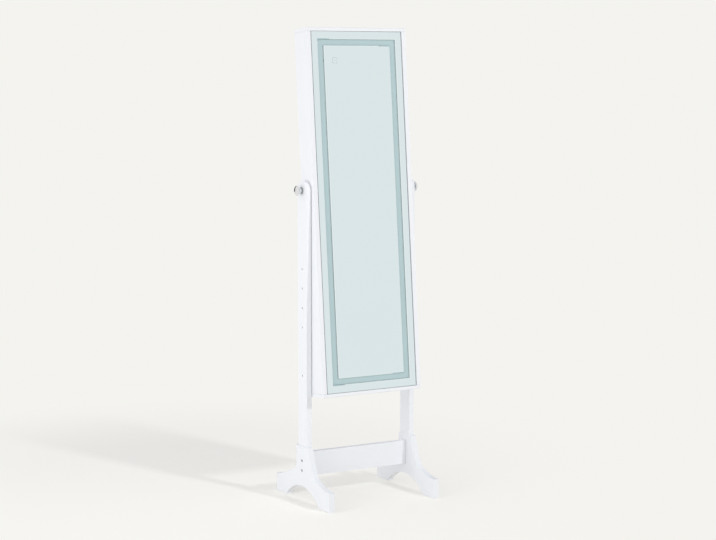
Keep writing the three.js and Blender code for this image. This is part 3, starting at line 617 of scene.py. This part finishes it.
low, high = leaning_box("bracelet_rod")
rod_radius = (high.z - low.z) / 2
rod_profile = [(0.0, 0.0)]
for i in range(ROD_STATIONS + 1):
    along = (high.x - low.x) * i / ROD_STATIONS
    end_distance = min(along, high.x - low.x - along)
    gather = ROD_GATHER * math.exp(-end_distance / GATHER_REACH)
    ripple = ROD_RIPPLE * math.sin(along / RIPPLE_LENGTHS[0]) * math.cos(along / RIPPLE_LENGTHS[1])
    rod_profile.append((along, rod_radius - ROD_SLACK - gather + ripple))
rod_profile.append((high.x - low.x, 0.0))
rod_mesh = turned("bracelet_rod_sleeve", rod_profile,
                  Vector((low.x, (low.y + high.y) / 2, (low.z + high.z) / 2)), 1, ROD_SIDES)
rod_mesh.transform(leaning)
rod = new_piece("bracelet_rod_sleeve", rod_mesh, pile_velvet, "cabinet", ["bracelet_rod"])

# ---- Necklace hooks --------------------------------------------------------------------------------
# Two chromed strips, each with a row of bent wire hooks that end in a small ball: one on a lacquered
# rail across the back, one on the inside of the door.

eased("necklace_rail", satin_lacquer, "cabinet", SHELF_EASING)

HOOK_REACH = 14 * MM
HOOK_RISE = 8.2 * MM
HOOK_BEND = 4 * MM
HOOK_WIRE = 1.3 * MM
HOOK_BALL = 1.9 * MM
BEND_STEPS = 8
WIRE_SIDES = 14
BALL_SEGMENTS, BALL_RINGS = 16, 10
STRIP_END = 10 * MM
STRIP_THICKNESS = 1.5 * MM
STRIP_HALF_TALL = 5.5 * MM
STRIP_EASING = 0.35 * MM


def row_tree(name, sizes, single, along):
    """Geometry nodes that add a row of like things to a start mesh. "sizes" names the inputs of one of
    them, "single" builds it from those, and "along" is the axis that the row runs along."""
    tree = bpy.data.node_groups.new(name, "GeometryNodeTree")
    inputs = {"Start": "Geometry", "Count": "Int", "First": "Vector", "Pitch": "Float",
              **dict.fromkeys(sizes, "Float"), "Finish": "Material"}
    for socket, kind in inputs.items():
        tree.interface.new_socket(socket, in_out="INPUT", socket_type=f"NodeSocket{kind}")
    tree.interface.new_socket("Finished", in_out="OUTPUT", socket_type="NodeSocketGeometry")
    given = tree.nodes.new("NodeGroupInput").outputs
    one = single(tree, given)
    step = add_node(tree, "ShaderNodeCombineXYZ", {along: given["Pitch"]}).outputs[0]
    places = add_node(tree, "GeometryNodeMeshLine", {
        "Count": given["Count"], "Start Location": given["First"], "Offset": step}).outputs[0]
    row = add_node(tree, "GeometryNodeInstanceOnPoints", {"Points": places, "Instance": one}).outputs[0]
    both = add_node(tree, "GeometryNodeJoinGeometry", {"Geometry": [given["Start"], row]}).outputs[0]
    real = add_node(tree, "GeometryNodeRealizeInstances", {"Geometry": both}).outputs[0]
    finished = add_node(tree, "GeometryNodeSetMaterial", {
        "Geometry": real, "Material": given["Finish"]}).outputs[0]
    add_node(tree, "NodeGroupOutput", {0: finished})
    return tree


def wire_hook(tree, given):
    """One wire hook with a ball at its tip; a negative reach points it forward."""
    # The wire's line has three points: root, corner and tip. The fillet rounds the corner.
    line = add_node(tree, "GeometryNodeMeshLine", {"Count": 3, "Offset": (0, 1, 0)}).outputs[0]
    curve = add_node(tree, "GeometryNodeMeshToCurve", {"Mesh": line}).outputs[0]
    index = add_node(tree, "GeometryNodeInputIndex", {}).outputs[0]
    outward = add_node(tree, "ShaderNodeMath", {"operation": "MINIMUM", 0: index, 1: 1.0}).outputs[0]
    upward = add_node(tree, "ShaderNodeMath", {
        "operation": "SUBTRACT", 0: index, 1: outward}).outputs[0]
    y = add_node(tree, "ShaderNodeMath", {
        "operation": "MULTIPLY", 0: outward, 1: given["Reach"]}).outputs[0]
    z = add_node(tree, "ShaderNodeMath", {
        "operation": "MULTIPLY", 0: upward, 1: given["Rise"]}).outputs[0]
    place = add_node(tree, "ShaderNodeCombineXYZ", {"Y": y, "Z": z}).outputs[0]
    bent = add_node(tree, "GeometryNodeSetPosition", {"Geometry": curve, "Position": place}).outputs[0]
    rounded = add_node(tree, "GeometryNodeFilletCurve", {
        "mode": "POLY", "Curve": bent, "Count": BEND_STEPS, "Radius": given["Bend"]}).outputs[0]
    section = add_node(tree, "GeometryNodeCurvePrimitiveCircle", {
        "Resolution": WIRE_SIDES, "Radius": given["Wire"]}).outputs[0]
    wire = add_node(tree, "GeometryNodeCurveToMesh", {
        "Curve": rounded, "Profile Curve": section, "Fill Caps": True}).outputs[0]
    ball = add_node(tree, "GeometryNodeMeshUVSphere", {
        "Segments": BALL_SEGMENTS, "Rings": BALL_RINGS, "Radius": given["Ball"]}).outputs[0]
    tip = add_node(tree, "ShaderNodeCombineXYZ", {"Y": given["Reach"], "Z": given["Rise"]}).outputs[0]
    placed = add_node(tree, "GeometryNodeTransform", {"Geometry": ball, "Translation": tip}).outputs[0]
    return add_node(tree, "GeometryNodeJoinGeometry", {"Geometry": [wire, placed]}).outputs[0]


def generated(name, mesh, tree, values):
    """A plain mesh in the leaning cabinet from a start mesh and geometry nodes, inputs set by name."""
    start = bpy.data.objects.new(name, mesh)
    scene.collection.objects.link(start)
    modifier = start.modifiers.new(tree.name, "NODES")
    modifier.node_group = tree
    for socket in tree.interface.items_tree:
        if socket.in_out == "INPUT" and socket.name in values:
            modifier[socket.identifier] = values[socket.name]
    bpy.context.view_layer.update()
    evaluated = start.evaluated_get(bpy.context.evaluated_depsgraph_get())
    result = bpy.data.meshes.new_from_object(evaluated)
    start.modifiers.remove(modifier)
    bpy.data.objects.remove(start)
    result.name = name
    result.transform(leaning)
    result.shade_smooth()
    result.set_sharp_from_angle(angle=SHARP_TURNING)
    return result


def block(name, low, high, easing):
    """A box between two corners with rounded edges."""
    shape = bmesh.new()
    bmesh.ops.create_cube(shape, size=1.0)
    for vertex in shape.verts:
        vertex.co = [high[i] if vertex.co[i] > 0 else low[i] for i in range(3)]
    bmesh.ops.bevel(shape, geom=shape.edges[:], offset=easing, segments=EASING_STEPS, profile=0.5,
                    affect="EDGES")
    return mesh_of(shape, name)


hook_row = row_tree("hook_row", ("Reach", "Rise", "Bend", "Wire", "Ball"), wire_hook, "X")

for node, count, outward, body in (
        ("necklace_hooks", 11, -1, "cabinet"), ("door_hooks", 9, 1, "door")):
    low, high = leaning_box(node)
    rear_y = high.y if outward < 0 else low.y
    face_y = rear_y + outward * STRIP_THICKNESS
    root_z = low.z + STRIP_HALF_TALL
    strip = block(node, (low.x, min(rear_y, face_y), low.z),
                  (high.x, max(rear_y, face_y), root_z + STRIP_HALF_TALL), STRIP_EASING)
    first_x = low.x + STRIP_END
    hooks_mesh = generated(f"{node}_chromed", strip, hook_row, {
        "Count": count,
        "First": (first_x, (rear_y + face_y) / 2, root_z),
        "Pitch": (high.x - low.x - 2 * STRIP_END) / (count - 1),
        "Reach": outward * HOOK_REACH,
        "Rise": HOOK_RISE,
        "Bend": HOOK_BEND,
        "Wire": HOOK_WIRE,
        "Ball": HOOK_BALL,
        "Finish": plated_chrome})
    new_piece(f"{node}_chromed", hooks_mesh, plated_chrome, body, [node])

# ---- Earring board ---------------------------------------------------------------------------------
# A thin lacquered board drilled with three rows of small holes for earring posts and wires, held off
# the lining so that hooks can pass behind it.

EARRING_COLUMNS = 15
EARRING_ROWS = 3
EARRING_HOLE = 2 * MM
EARRING_CORNERS = 16
COLUMN_INSET = 35 * MM
ROW_INSET = 22 * MM
THIN_BOARD_EASING = 0.4 * MM

low, high = leaning_box("earring_panel")
outlines = [[(low.x, low.z), (high.x, low.z), (high.x, high.z), (low.x, high.z)]]
for column in range(EARRING_COLUMNS):
    x = low.x + COLUMN_INSET + (high.x - low.x - 2 * COLUMN_INSET) * column / (EARRING_COLUMNS - 1)
    for row in range(EARRING_ROWS):
        z = low.z + ROW_INSET + (high.z - low.z - 2 * ROW_INSET) * row / (EARRING_ROWS - 1)
        outlines.append(circle((x, z), EARRING_HOLE, EARRING_CORNERS))
earring_mesh = plate("earring_panel_drilled", outlines, -high.y, -low.y, THIN_BOARD_EASING,
                     leaning @ FACING_FRONT)
earring = new_piece("earring_panel_drilled", earring_mesh, satin_lacquer, "cabinet",
                    ["earring_panel"])
even_shading(earring)

# ---- Ring tray and cushion -------------------------------------------------------------------------
# A lacquered tray with six soft rolls across it. Each roll is a foam core in a velvet sleeve, packed
# against its neighbours so that a ring is held in the fold between two.

eased("ring_tray", satin_lacquer, "cabinet", SHELF_EASING)

ROLL_COUNT = 6
ROLL_STATIONS = 60
ROLL_SIDES = 32
ROLL_DEPTH_HALF = 8 * MM
ROLL_SLACK = (0.3 * MM, 0.15 * MM)
ROLL_SQUARENESS = 0.22
ROLL_CLOSING = 7 * MM
ROLL_WELD = 0.02 * MM
PUCKER = 0.1 * MM
END_PUCKER = 0.25 * MM
WRINKLES_ROUND = 5
WRINKLES_ALONG = 11
WRINKLE_TWIST = 37
WRINKLE_SHIFT = 2.1
BASE_INSET = (1 * MM, 0.2 * MM)
BASE_START = 0.4
BASE_EASING = 1.0 * MM

low, high = leaning_box("ring_cushion")
pitch = (high.z - low.z) / ROLL_COUNT
fold_y = low.y + ROLL_DEPTH_HALF
cushion = bmesh.new()
for roll in range(ROLL_COUNT):
    middle = low.z + (roll + 0.5) * pitch
    rings = []
    for station in range(ROLL_STATIONS + 1):
        t = station / ROLL_STATIONS
        x = low.x + (high.x - low.x) * t
        end_distance = min(x - low.x, high.x - x)
        closing = min(1.0, end_distance / ROLL_CLOSING)
        swell = math.sqrt(max(0.0, 1 - (1 - closing) ** 2))
        pucker = END_PUCKER * (1 - closing) + PUCKER
        ring = []
        for i in range(ROLL_SIDES):
            a = 2 * math.pi * i / ROLL_SIDES
            wrinkle = (pucker * math.sin(WRINKLES_ROUND * a + roll * WRINKLE_SHIFT + WRINKLE_TWIST * t) *
                       math.sin(WRINKLES_ALONG * math.pi * t + roll))
            across = (ROLL_DEPTH_HALF - ROLL_SLACK[0] + wrinkle) * swell
            tall = (pitch / 2 - ROLL_SLACK[1]) * swell
            squared = 1.0 / max(abs(math.cos(a)), abs(math.sin(a))) ** ROLL_SQUARENESS
            rise = math.copysign(min(1.0, abs(math.sin(a)) * squared), math.sin(a))
            ring.append(cushion.verts.new((x, fold_y + across * math.cos(a), middle + tall * rise)))
        rings.append(ring)
    for first, second in zip(rings, rings[1:]):
        for i in range(ROLL_SIDES):
            j = (i + 1) % ROLL_SIDES
            cushion.faces.new((first[i], first[j], second[j], second[i]))
bmesh.ops.remove_doubles(cushion, verts=cushion.verts, dist=ROLL_WELD)
bmesh.ops.recalc_face_normals(cushion, faces=cushion.faces)
cushion.from_mesh(block(
    "ring_cushion_base",
    (low.x + BASE_INSET[0], fold_y + BASE_START * ROLL_DEPTH_HALF, low.z + BASE_INSET[1]),
    (high.x - BASE_INSET[0], high.y, high.z - BASE_INSET[1]), BASE_EASING))
cushion_mesh = mesh_of(cushion, "ring_cushion_rolls")
cushion_mesh.transform(leaning)
cushion_mesh.shade_smooth()
rolls = new_piece("ring_cushion_rolls", cushion_mesh, pile_velvet, "cabinet", ["ring_cushion"])

# ---- Magnetic catches ------------------------------------------------------------------------------
# A white moulded housing on the inside of the right-hand side, with two steel pole plates let into
# its face. They pull on the strike plates in the door.

# Injection-moulded ABS: even, slightly glossy, with a fine spark-eroded texture of about 0.5 mm.
moulded_abs = material(
    "moulded_white_abs",
    colour=("#ECECE9", "#F1F1EE", 0.02),
    roughness=(0.36, 0.44, 0.003),
    relief=(0.000015, 0.0005, 1.0),
    settings={"IOR": 1.54})

HOUSING_EASING = 0.8 * MM
POLE_HALF = (1.0 * MM, 14.0 * MM)
POLE_OFFSET = 3 * MM
POLE_PROUD = 0.15 * MM
POLE_DEPTH = 2 * MM
POLE_EASING = 0.2 * MM

for number in (1, 2):
    node = f"magnet_catch_{number}"
    eased(node, moulded_abs, "cabinet", HOUSING_EASING)
    low, high = leaning_box(node)
    middle = (low + high) / 2
    poles = bmesh.new()
    for x in (middle.x - POLE_OFFSET, middle.x + POLE_OFFSET):
        poles.from_mesh(block(
            "pole", (x - POLE_HALF[0], low.y - POLE_PROUD, middle.z - POLE_HALF[1]),
            (x + POLE_HALF[0], low.y + POLE_DEPTH, middle.z + POLE_HALF[1]), POLE_EASING))
    pole_mesh = mesh_of(poles, f"magnet_poles_{number}")
    pole_mesh.transform(leaning)
    new_piece(f"magnet_poles_{number}", pole_mesh, zinc_plate, "cabinet")

# ---- Door board and its metalwork ------------------------------------------------------------------
# A 15 mm lacquered board with a channel routed round its face for the lamp strip and its diffuser.
# Steel pins at its left edge hang it in the case; two steel strike plates are let into its back.

DOOR_EASING = 0.8 * MM
STRIKE_EASING = 0.3 * MM

eased("door_board", satin_lacquer, "door", DOOR_EASING)
for end in ("upper", "lower"):
    dress(f"{end}_hinge_pin", zinc_plate)
for number in (1, 2):
    eased(f"strike_plate_{number}", zinc_plate, "door", STRIKE_EASING)

# ---- Lamp, switch and battery box ------------------------------------------------------------------
# A flexible lamp strip lies in the channel behind the diffuser. A touch switch sits behind the glass,
# and a moulded battery box with a ribbed lid is fixed to the inside of the door.

# Flexible lamp strip: cream solder mask, mottled at about the 8 mm pitch of its lamps.
lamp_board = material(
    "lamp_strip_board",
    colour=("#D9D4BE", "#F0ECDD", 0.008, 0.0),
    roughness=(0.4, 0.5, 0.002),
    relief=(0.0002, 0.004, 0.0),
    settings={"IOR": 1.5})

# Black moulded plastic, matt.
black_plastic = material(
    "moulded_black_plastic",
    colour=("#1F2022", "#292A2D", 0.01),
    roughness=(0.42, 0.52, 0.003),
    relief=(0.00001, 0.0006, 1.0),
    settings={"IOR": 1.53})

dress("lamp_strip", lamp_board)
dress("lamp_lead", black_plastic)
dress("touch_switch", black_plastic)

BOX_EASING = 0.6 * MM
LID_EASING = 0.5 * MM
RIB_COUNT = 6
RIB_PITCH = 2.2 * MM
RIB_LENGTH = 22 * MM
RIB_RADIUS = 0.6 * MM
RIB_SIDES = 14
RIB_SUNK = 0.35 * MM
RIB_DROP = 16 * MM


def grip_rib(tree, given):
    """One finger rib: a thin rod along X, half sunk in the lid."""
    rod = add_node(tree, "GeometryNodeMeshCylinder", {
        "Vertices": RIB_SIDES, "Radius": given["Radius"], "Depth": given["Length"]}).outputs[0]
    return add_node(tree, "GeometryNodeTransform", {
        "Geometry": rod, "Rotation": (0.0, math.pi / 2, 0.0)}).outputs[0]


eased("battery_box", moulded_abs, "door", BOX_EASING)
low, high = leaning_box("battery_lid")
middle = (low + high) / 2
ladder = row_tree("grip_ribs", ("Length", "Radius"), grip_rib, "Z")
lid_mesh = generated("battery_lid_ribbed", block("lid", low, high, LID_EASING), ladder, {
    "Count": RIB_COUNT,
    "First": (middle.x, high.y - RIB_SUNK, high.z - RIB_DROP),
    "Pitch": RIB_PITCH,
    "Length": RIB_LENGTH,
    "Radius": RIB_RADIUS,
    "Finish": moulded_abs})
new_piece("battery_lid_ribbed", lid_mesh, moulded_abs, "door", ["battery_lid"])

# ---- Diffuser band ---------------------------------------------------------------------------------
# A frame of frosted acrylic, set back behind the faces of the panes on either side of it. Unlit, it
# looks a pale grey teal.

BAND_EASING = 0.4 * MM

# Frosted acrylic: soft and matt. The etched tooth is drawn at 0.6 mm.
frosted_acrylic = material(
    "frosted_acrylic",
    colour=("#B9D0D2", "#BED4D6", 0.08),
    roughness=(0.5, 0.6, 0.004),
    relief=(0.00001, 0.0006, 1.0),
    settings={"IOR": 1.49})

eased("light_band", frosted_acrylic, "door", BAND_EASING)

# ---- Mirror panes ----------------------------------------------------------------------------------
# Two panes of 4 mm silvered float glass: a border round the band and the large pane inside it. The
# border's outer edge is ground; the edges along the band are polished, with a wide arris in front.

OUTER_ARRIS = 0.4 * MM
BAND_ARRIS = 1.8 * MM
SAME_PLACE = 0.05 * MM
FACE, GROUND, POLISHED, ARRIS = range(4)

# Silvered float glass: a clean mirror with the faint blue-green of the glass, and the barely visible
# waviness of float glass, about 60 mm long.
silvered_glass = material(
    "silvered_float_glass",
    colour=("#E3F0F6", "#E6F2F8", 0.4),
    roughness=(0.012, 0.02, 0.05),
    relief=(0.000004, 0.06, 0.0),
    settings={"Metallic": 1.0})

# A ground edge of glass: matt and frosty, a pale grey green.
ground_edge = material(
    "ground_glass_edge",
    colour=("#D4DEDF", "#DEE6E7", 0.01),
    roughness=(0.45, 0.55, 0.002),
    relief=(0.00002, 0.0008, 1.0),
    settings={"IOR": 1.52})

# A polished edge of glass: glossy and dark green, because light is lost along the pane.
polished_edge = material(
    "polished_glass_edge",
    colour=("#5A7476", "#678183", 0.01),
    roughness=(0.12, 0.2, 0.006),
    relief=(0.000006, 0.01, 0.0),
    settings={"IOR": 1.52})

# The polished arris: clear glass over the silvering, which catches light from the side.
polished_arris = material(
    "polished_glass_arris",
    colour=("#EEFBFF", "#F3FDFF", 0.02),
    roughness=(0.05, 0.08, 0.01),
    relief=(0.000004, 0.01, 0.0),
    settings={"Metallic": 1.0})

# The materials follow the order of FACE, GROUND, POLISHED and ARRIS.
for node in ("mirror_border", "mirror_centre"):
    pane = eased(node, [silvered_glass, ground_edge, polished_edge, polished_arris],
                 "door", BAND_ARRIS, segments=1)
    low, high = leaning_box(node)
    local = [leaning.inverted() @ vertex.co for vertex in pane.data.vertices]
    in_front = [corner.y < low.y + SAME_PLACE for corner in local]
    at_rim = [node == "mirror_border" and (
        min(corner.x - low.x, high.x - corner.x, corner.z - low.z, high.z - corner.z) < SAME_PLACE)
        for corner in local]
    weights = pane.data.attributes.new("bevel_weight_edge", "FLOAT", "EDGE")
    for edge in pane.data.edges:
        first, second = edge.vertices
        if in_front[first] and in_front[second] and at_rim[first] == at_rim[second]:
            weights.data[edge.index].value = OUTER_ARRIS / BAND_ARRIS if at_rim[first] else 1.0
    for polygon in pane.data.polygons:
        depths = [local[i].y for i in polygon.vertices]
        if max(depths) - min(depths) < SAME_PLACE:
            polygon.material_index = FACE
        else:
            polygon.material_index = GROUND if all(at_rim[i] for i in polygon.vertices) else POLISHED
    pane.modifiers["eased_edges"].limit_method = "WEIGHT"
    pane.modifiers["eased_edges"].material = ARRIS

# ---- Touch mark ------------------------------------------------------------------------------------
# Where the switch lies behind the glass a plain mark is etched into its face: a rounded frame, open
# at the bottom, round a dot.

MARK_HALF = (8.3 * MM, 9.0 * MM)
MARK_CORNER = 3.2 * MM
MARK_LINE = 1.6 * MM
MARK_GAP = 3.4 * MM
MARK_DOT = 1.3 * MM
DOT_CORNERS = 20
MARK_PROUD = 0.05 * MM
MARK_SUNK = 0.15 * MM
MARK_EASING = 0.02 * MM
CORNER_STEPS = 6

low, high = leaning_box("touch_switch")
mark_x = (low.x + high.x) / 2
mark_z = (low.z + high.z) / 2
glass_face = leaning_box("mirror_centre")[0].y


def mark_path(grown):
    """The frame's line, grown outward: from one side of the gap round to the other."""
    half_wide, half_tall = MARK_HALF[0] + grown, MARK_HALF[1] + grown
    radius = MARK_CORNER + grown
    points = [(mark_x + MARK_GAP / 2, mark_z - half_tall)]
    for quarter, (right, up) in enumerate(((1, -1), (1, 1), (-1, 1), (-1, -1)), -1):
        centre = (mark_x + right * (half_wide - radius), mark_z + up * (half_tall - radius))
        points += arc(
            centre, radius, quarter * math.pi / 2, (quarter + 1) * math.pi / 2, CORNER_STEPS)
    return points + [(mark_x - MARK_GAP / 2, mark_z - half_tall)]


# Etched glass: a soft grey that scatters light.
etched_glass = material(
    "etched_glass",
    colour=("#B4C6CB", "#BDCDD2", 0.003),
    roughness=(0.55, 0.65, 0.001),
    relief=(0.00002, 0.0005, 1.0),
    settings={"IOR": 1.52})

frame_outline = mark_path(MARK_LINE / 2) + mark_path(-MARK_LINE / 2)[::-1]
dot_outline = circle((mark_x, mark_z), MARK_DOT, DOT_CORNERS)
mark_mesh = plate("touch_mark", [frame_outline, dot_outline], -glass_face - MARK_SUNK,
                  -glass_face + MARK_PROUD, MARK_EASING, leaning @ FACING_FRONT)
new_piece("touch_mark", mark_mesh, etched_glass, "door")

# ---- Studio ----------------------------------------------------------------------------------------
# A pale floor that melts into the background, a surround a little brighter at the left, rear and top,
# a soft light high in front and a broad fill at the left. What the camera and reflections see of the
# surround is the background colour, apart from a dim far wall that only reflections show.

BACKGROUND = "#F4F3EF"
FLOOR_PAPER = "#F3F1EB"
DIM_WALL = "#343638"
SOFT_WHITE = "#FAFBFF"
SURROUND_LEVEL = 0.645
SURROUND_SLOPE = (-0.2, 0.11, 0.12)
FLOOR_RADIUS = 9.0
FLOOR_CORNERS = 96
FLOOR_LIFT = 0.135
FLOOR_MIDDLE = (-0.35, 0.45, 0.0)
CLEAR_RADIUS = 0.45
MELTED_RADIUS = 1.55
FAR_WALL = (0.3, 0.954, 0.0)
FAR_WALL_EDGES = (0.7, 0.78)

# Each lamp: where it stands, what it faces, its side in metres and its power in watts.
KEY_LIGHT = ((1.7, -5.2, 3.45), (0.0, 0.0, 0.3), 0.45, 98.0)
FILL_LIGHT = ((-3.5, -0.6, 0.9), (0.0, 0.0, 0.9), 2.4, 32.0)


def seen_directly(tree, *kinds):
    """1 for rays of these kinds and 0 for those that only light things."""
    path = add_node(tree, "ShaderNodeLightPath", {})
    total = path.outputs[kinds[0]]
    for kind in kinds[1:]:
        total = add_node(tree, "ShaderNodeMath", {
            "operation": "ADD", "use_clamp": True, 0: total, 1: path.outputs[kind]}).outputs[0]
    return total


def studio_floor():
    """A disc whose middle takes shadows and whose rim gives out the background colour."""
    shape = bmesh.new()
    bmesh.ops.create_circle(shape, cap_ends=True, segments=FLOOR_CORNERS, radius=FLOOR_RADIUS)
    mesh = mesh_of(shape, "studio_floor")
    made = bpy.data.materials.new("studio_floor")
    made.use_nodes = True
    tree = made.node_tree
    tree.nodes.clear()
    coordinates = add_node(tree, "ShaderNodeTexCoord", {})
    distance = add_node(tree, "ShaderNodeVectorMath", {
        "operation": "DISTANCE", 0: coordinates.outputs["Object"], 1: FLOOR_MIDDLE})
    melting = add_node(tree, "ShaderNodeMapRange", {
        "interpolation_type": "SMOOTHSTEP", "Value": distance.outputs["Value"],
        "From Min": CLEAR_RADIUS, "From Max": MELTED_RADIUS})
    matt = add_node(tree, "ShaderNodeBsdfDiffuse", {"Color": linear(FLOOR_PAPER)})
    seen = seen_directly(tree, "Is Camera Ray", "Is Glossy Ray", "Is Transmission Ray")
    lift = add_node(tree, "ShaderNodeMath", {"operation": "MULTIPLY", 0: seen, 1: FLOOR_LIFT})
    lifted = add_node(tree, "ShaderNodeEmission", {
        "Color": linear(BACKGROUND), "Strength": lift.outputs[0]})
    paper = add_node(tree, "ShaderNodeAddShader", {0: matt.outputs[0], 1: lifted.outputs[0]})
    glow = add_node(tree, "ShaderNodeEmission", {"Color": linear(BACKGROUND)})
    mixed = add_node(tree, "ShaderNodeMixShader", {
        0: melting.outputs[0], 1: paper.outputs[0], 2: glow.outputs[0]})
    add_node(tree, "ShaderNodeOutputMaterial", {"Surface": mixed.outputs[0]})
    mesh.materials.append(made)
    floor = bpy.data.objects.new("studio_floor", mesh)
    scene.collection.objects.link(floor)


studio_floor()

world = bpy.data.worlds.new("surround")
scene.world = world
world.use_nodes = True
tree = world.node_tree
tree.nodes.clear()
direction = add_node(tree, "ShaderNodeTexCoord", {})
towards_wall = add_node(tree, "ShaderNodeVectorMath", {
    "operation": "DOT_PRODUCT", 0: direction.outputs["Generated"], 1: FAR_WALL})
wall = add_node(tree, "ShaderNodeMapRange", {
    "interpolation_type": "SMOOTHSTEP", "Value": towards_wall.outputs["Value"],
    "From Min": FAR_WALL_EDGES[0], "From Max": FAR_WALL_EDGES[1]})
wall_in_chrome = add_node(tree, "ShaderNodeMath", {
    "operation": "MULTIPLY", 0: wall.outputs[0], 1: seen_directly(tree, "Is Glossy Ray")})
shown = add_node(tree, "ShaderNodeMix", {
    "data_type": "RGBA", 0: wall_in_chrome.outputs[0], 6: linear(BACKGROUND), 7: linear(DIM_WALL)})
backdrop = add_node(tree, "ShaderNodeBackground", {"Color": shown.outputs[2], "Strength": 1.0})
tilted = add_node(tree, "ShaderNodeVectorMath", {
    "operation": "DOT_PRODUCT", 0: direction.outputs["Generated"], 1: SURROUND_SLOPE})
level = add_node(tree, "ShaderNodeMath", {
    "operation": "ADD", 0: tilted.outputs["Value"], 1: SURROUND_LEVEL})
lighting = add_node(tree, "ShaderNodeBackground", {
    "Color": linear(SOFT_WHITE), "Strength": level.outputs[0]})
mixed = add_node(tree, "ShaderNodeMixShader", {
    0: seen_directly(tree, "Is Camera Ray", "Is Glossy Ray", "Is Transmission Ray"),
    1: lighting.outputs[0], 2: backdrop.outputs[0]})
add_node(tree, "ShaderNodeOutputWorld", {"Surface": mixed.outputs[0]})


def soft_light(name, spot, target, size, watts):
    """A square area light at a spot, turned to a target."""
    lamp = bpy.data.lights.new(name, "AREA")
    lamp.shape = "SQUARE"
    lamp.size = size
    lamp.energy = watts
    light = bpy.data.objects.new(name, lamp)
    light.location = spot
    light.rotation_euler = (Vector(target) - Vector(spot)).to_track_quat("-Z", "Y").to_euler()
    light.visible_glossy = False
    scene.collection.objects.link(light)


soft_light("key", *KEY_LIGHT)
soft_light("fill", *FILL_LIGHT)
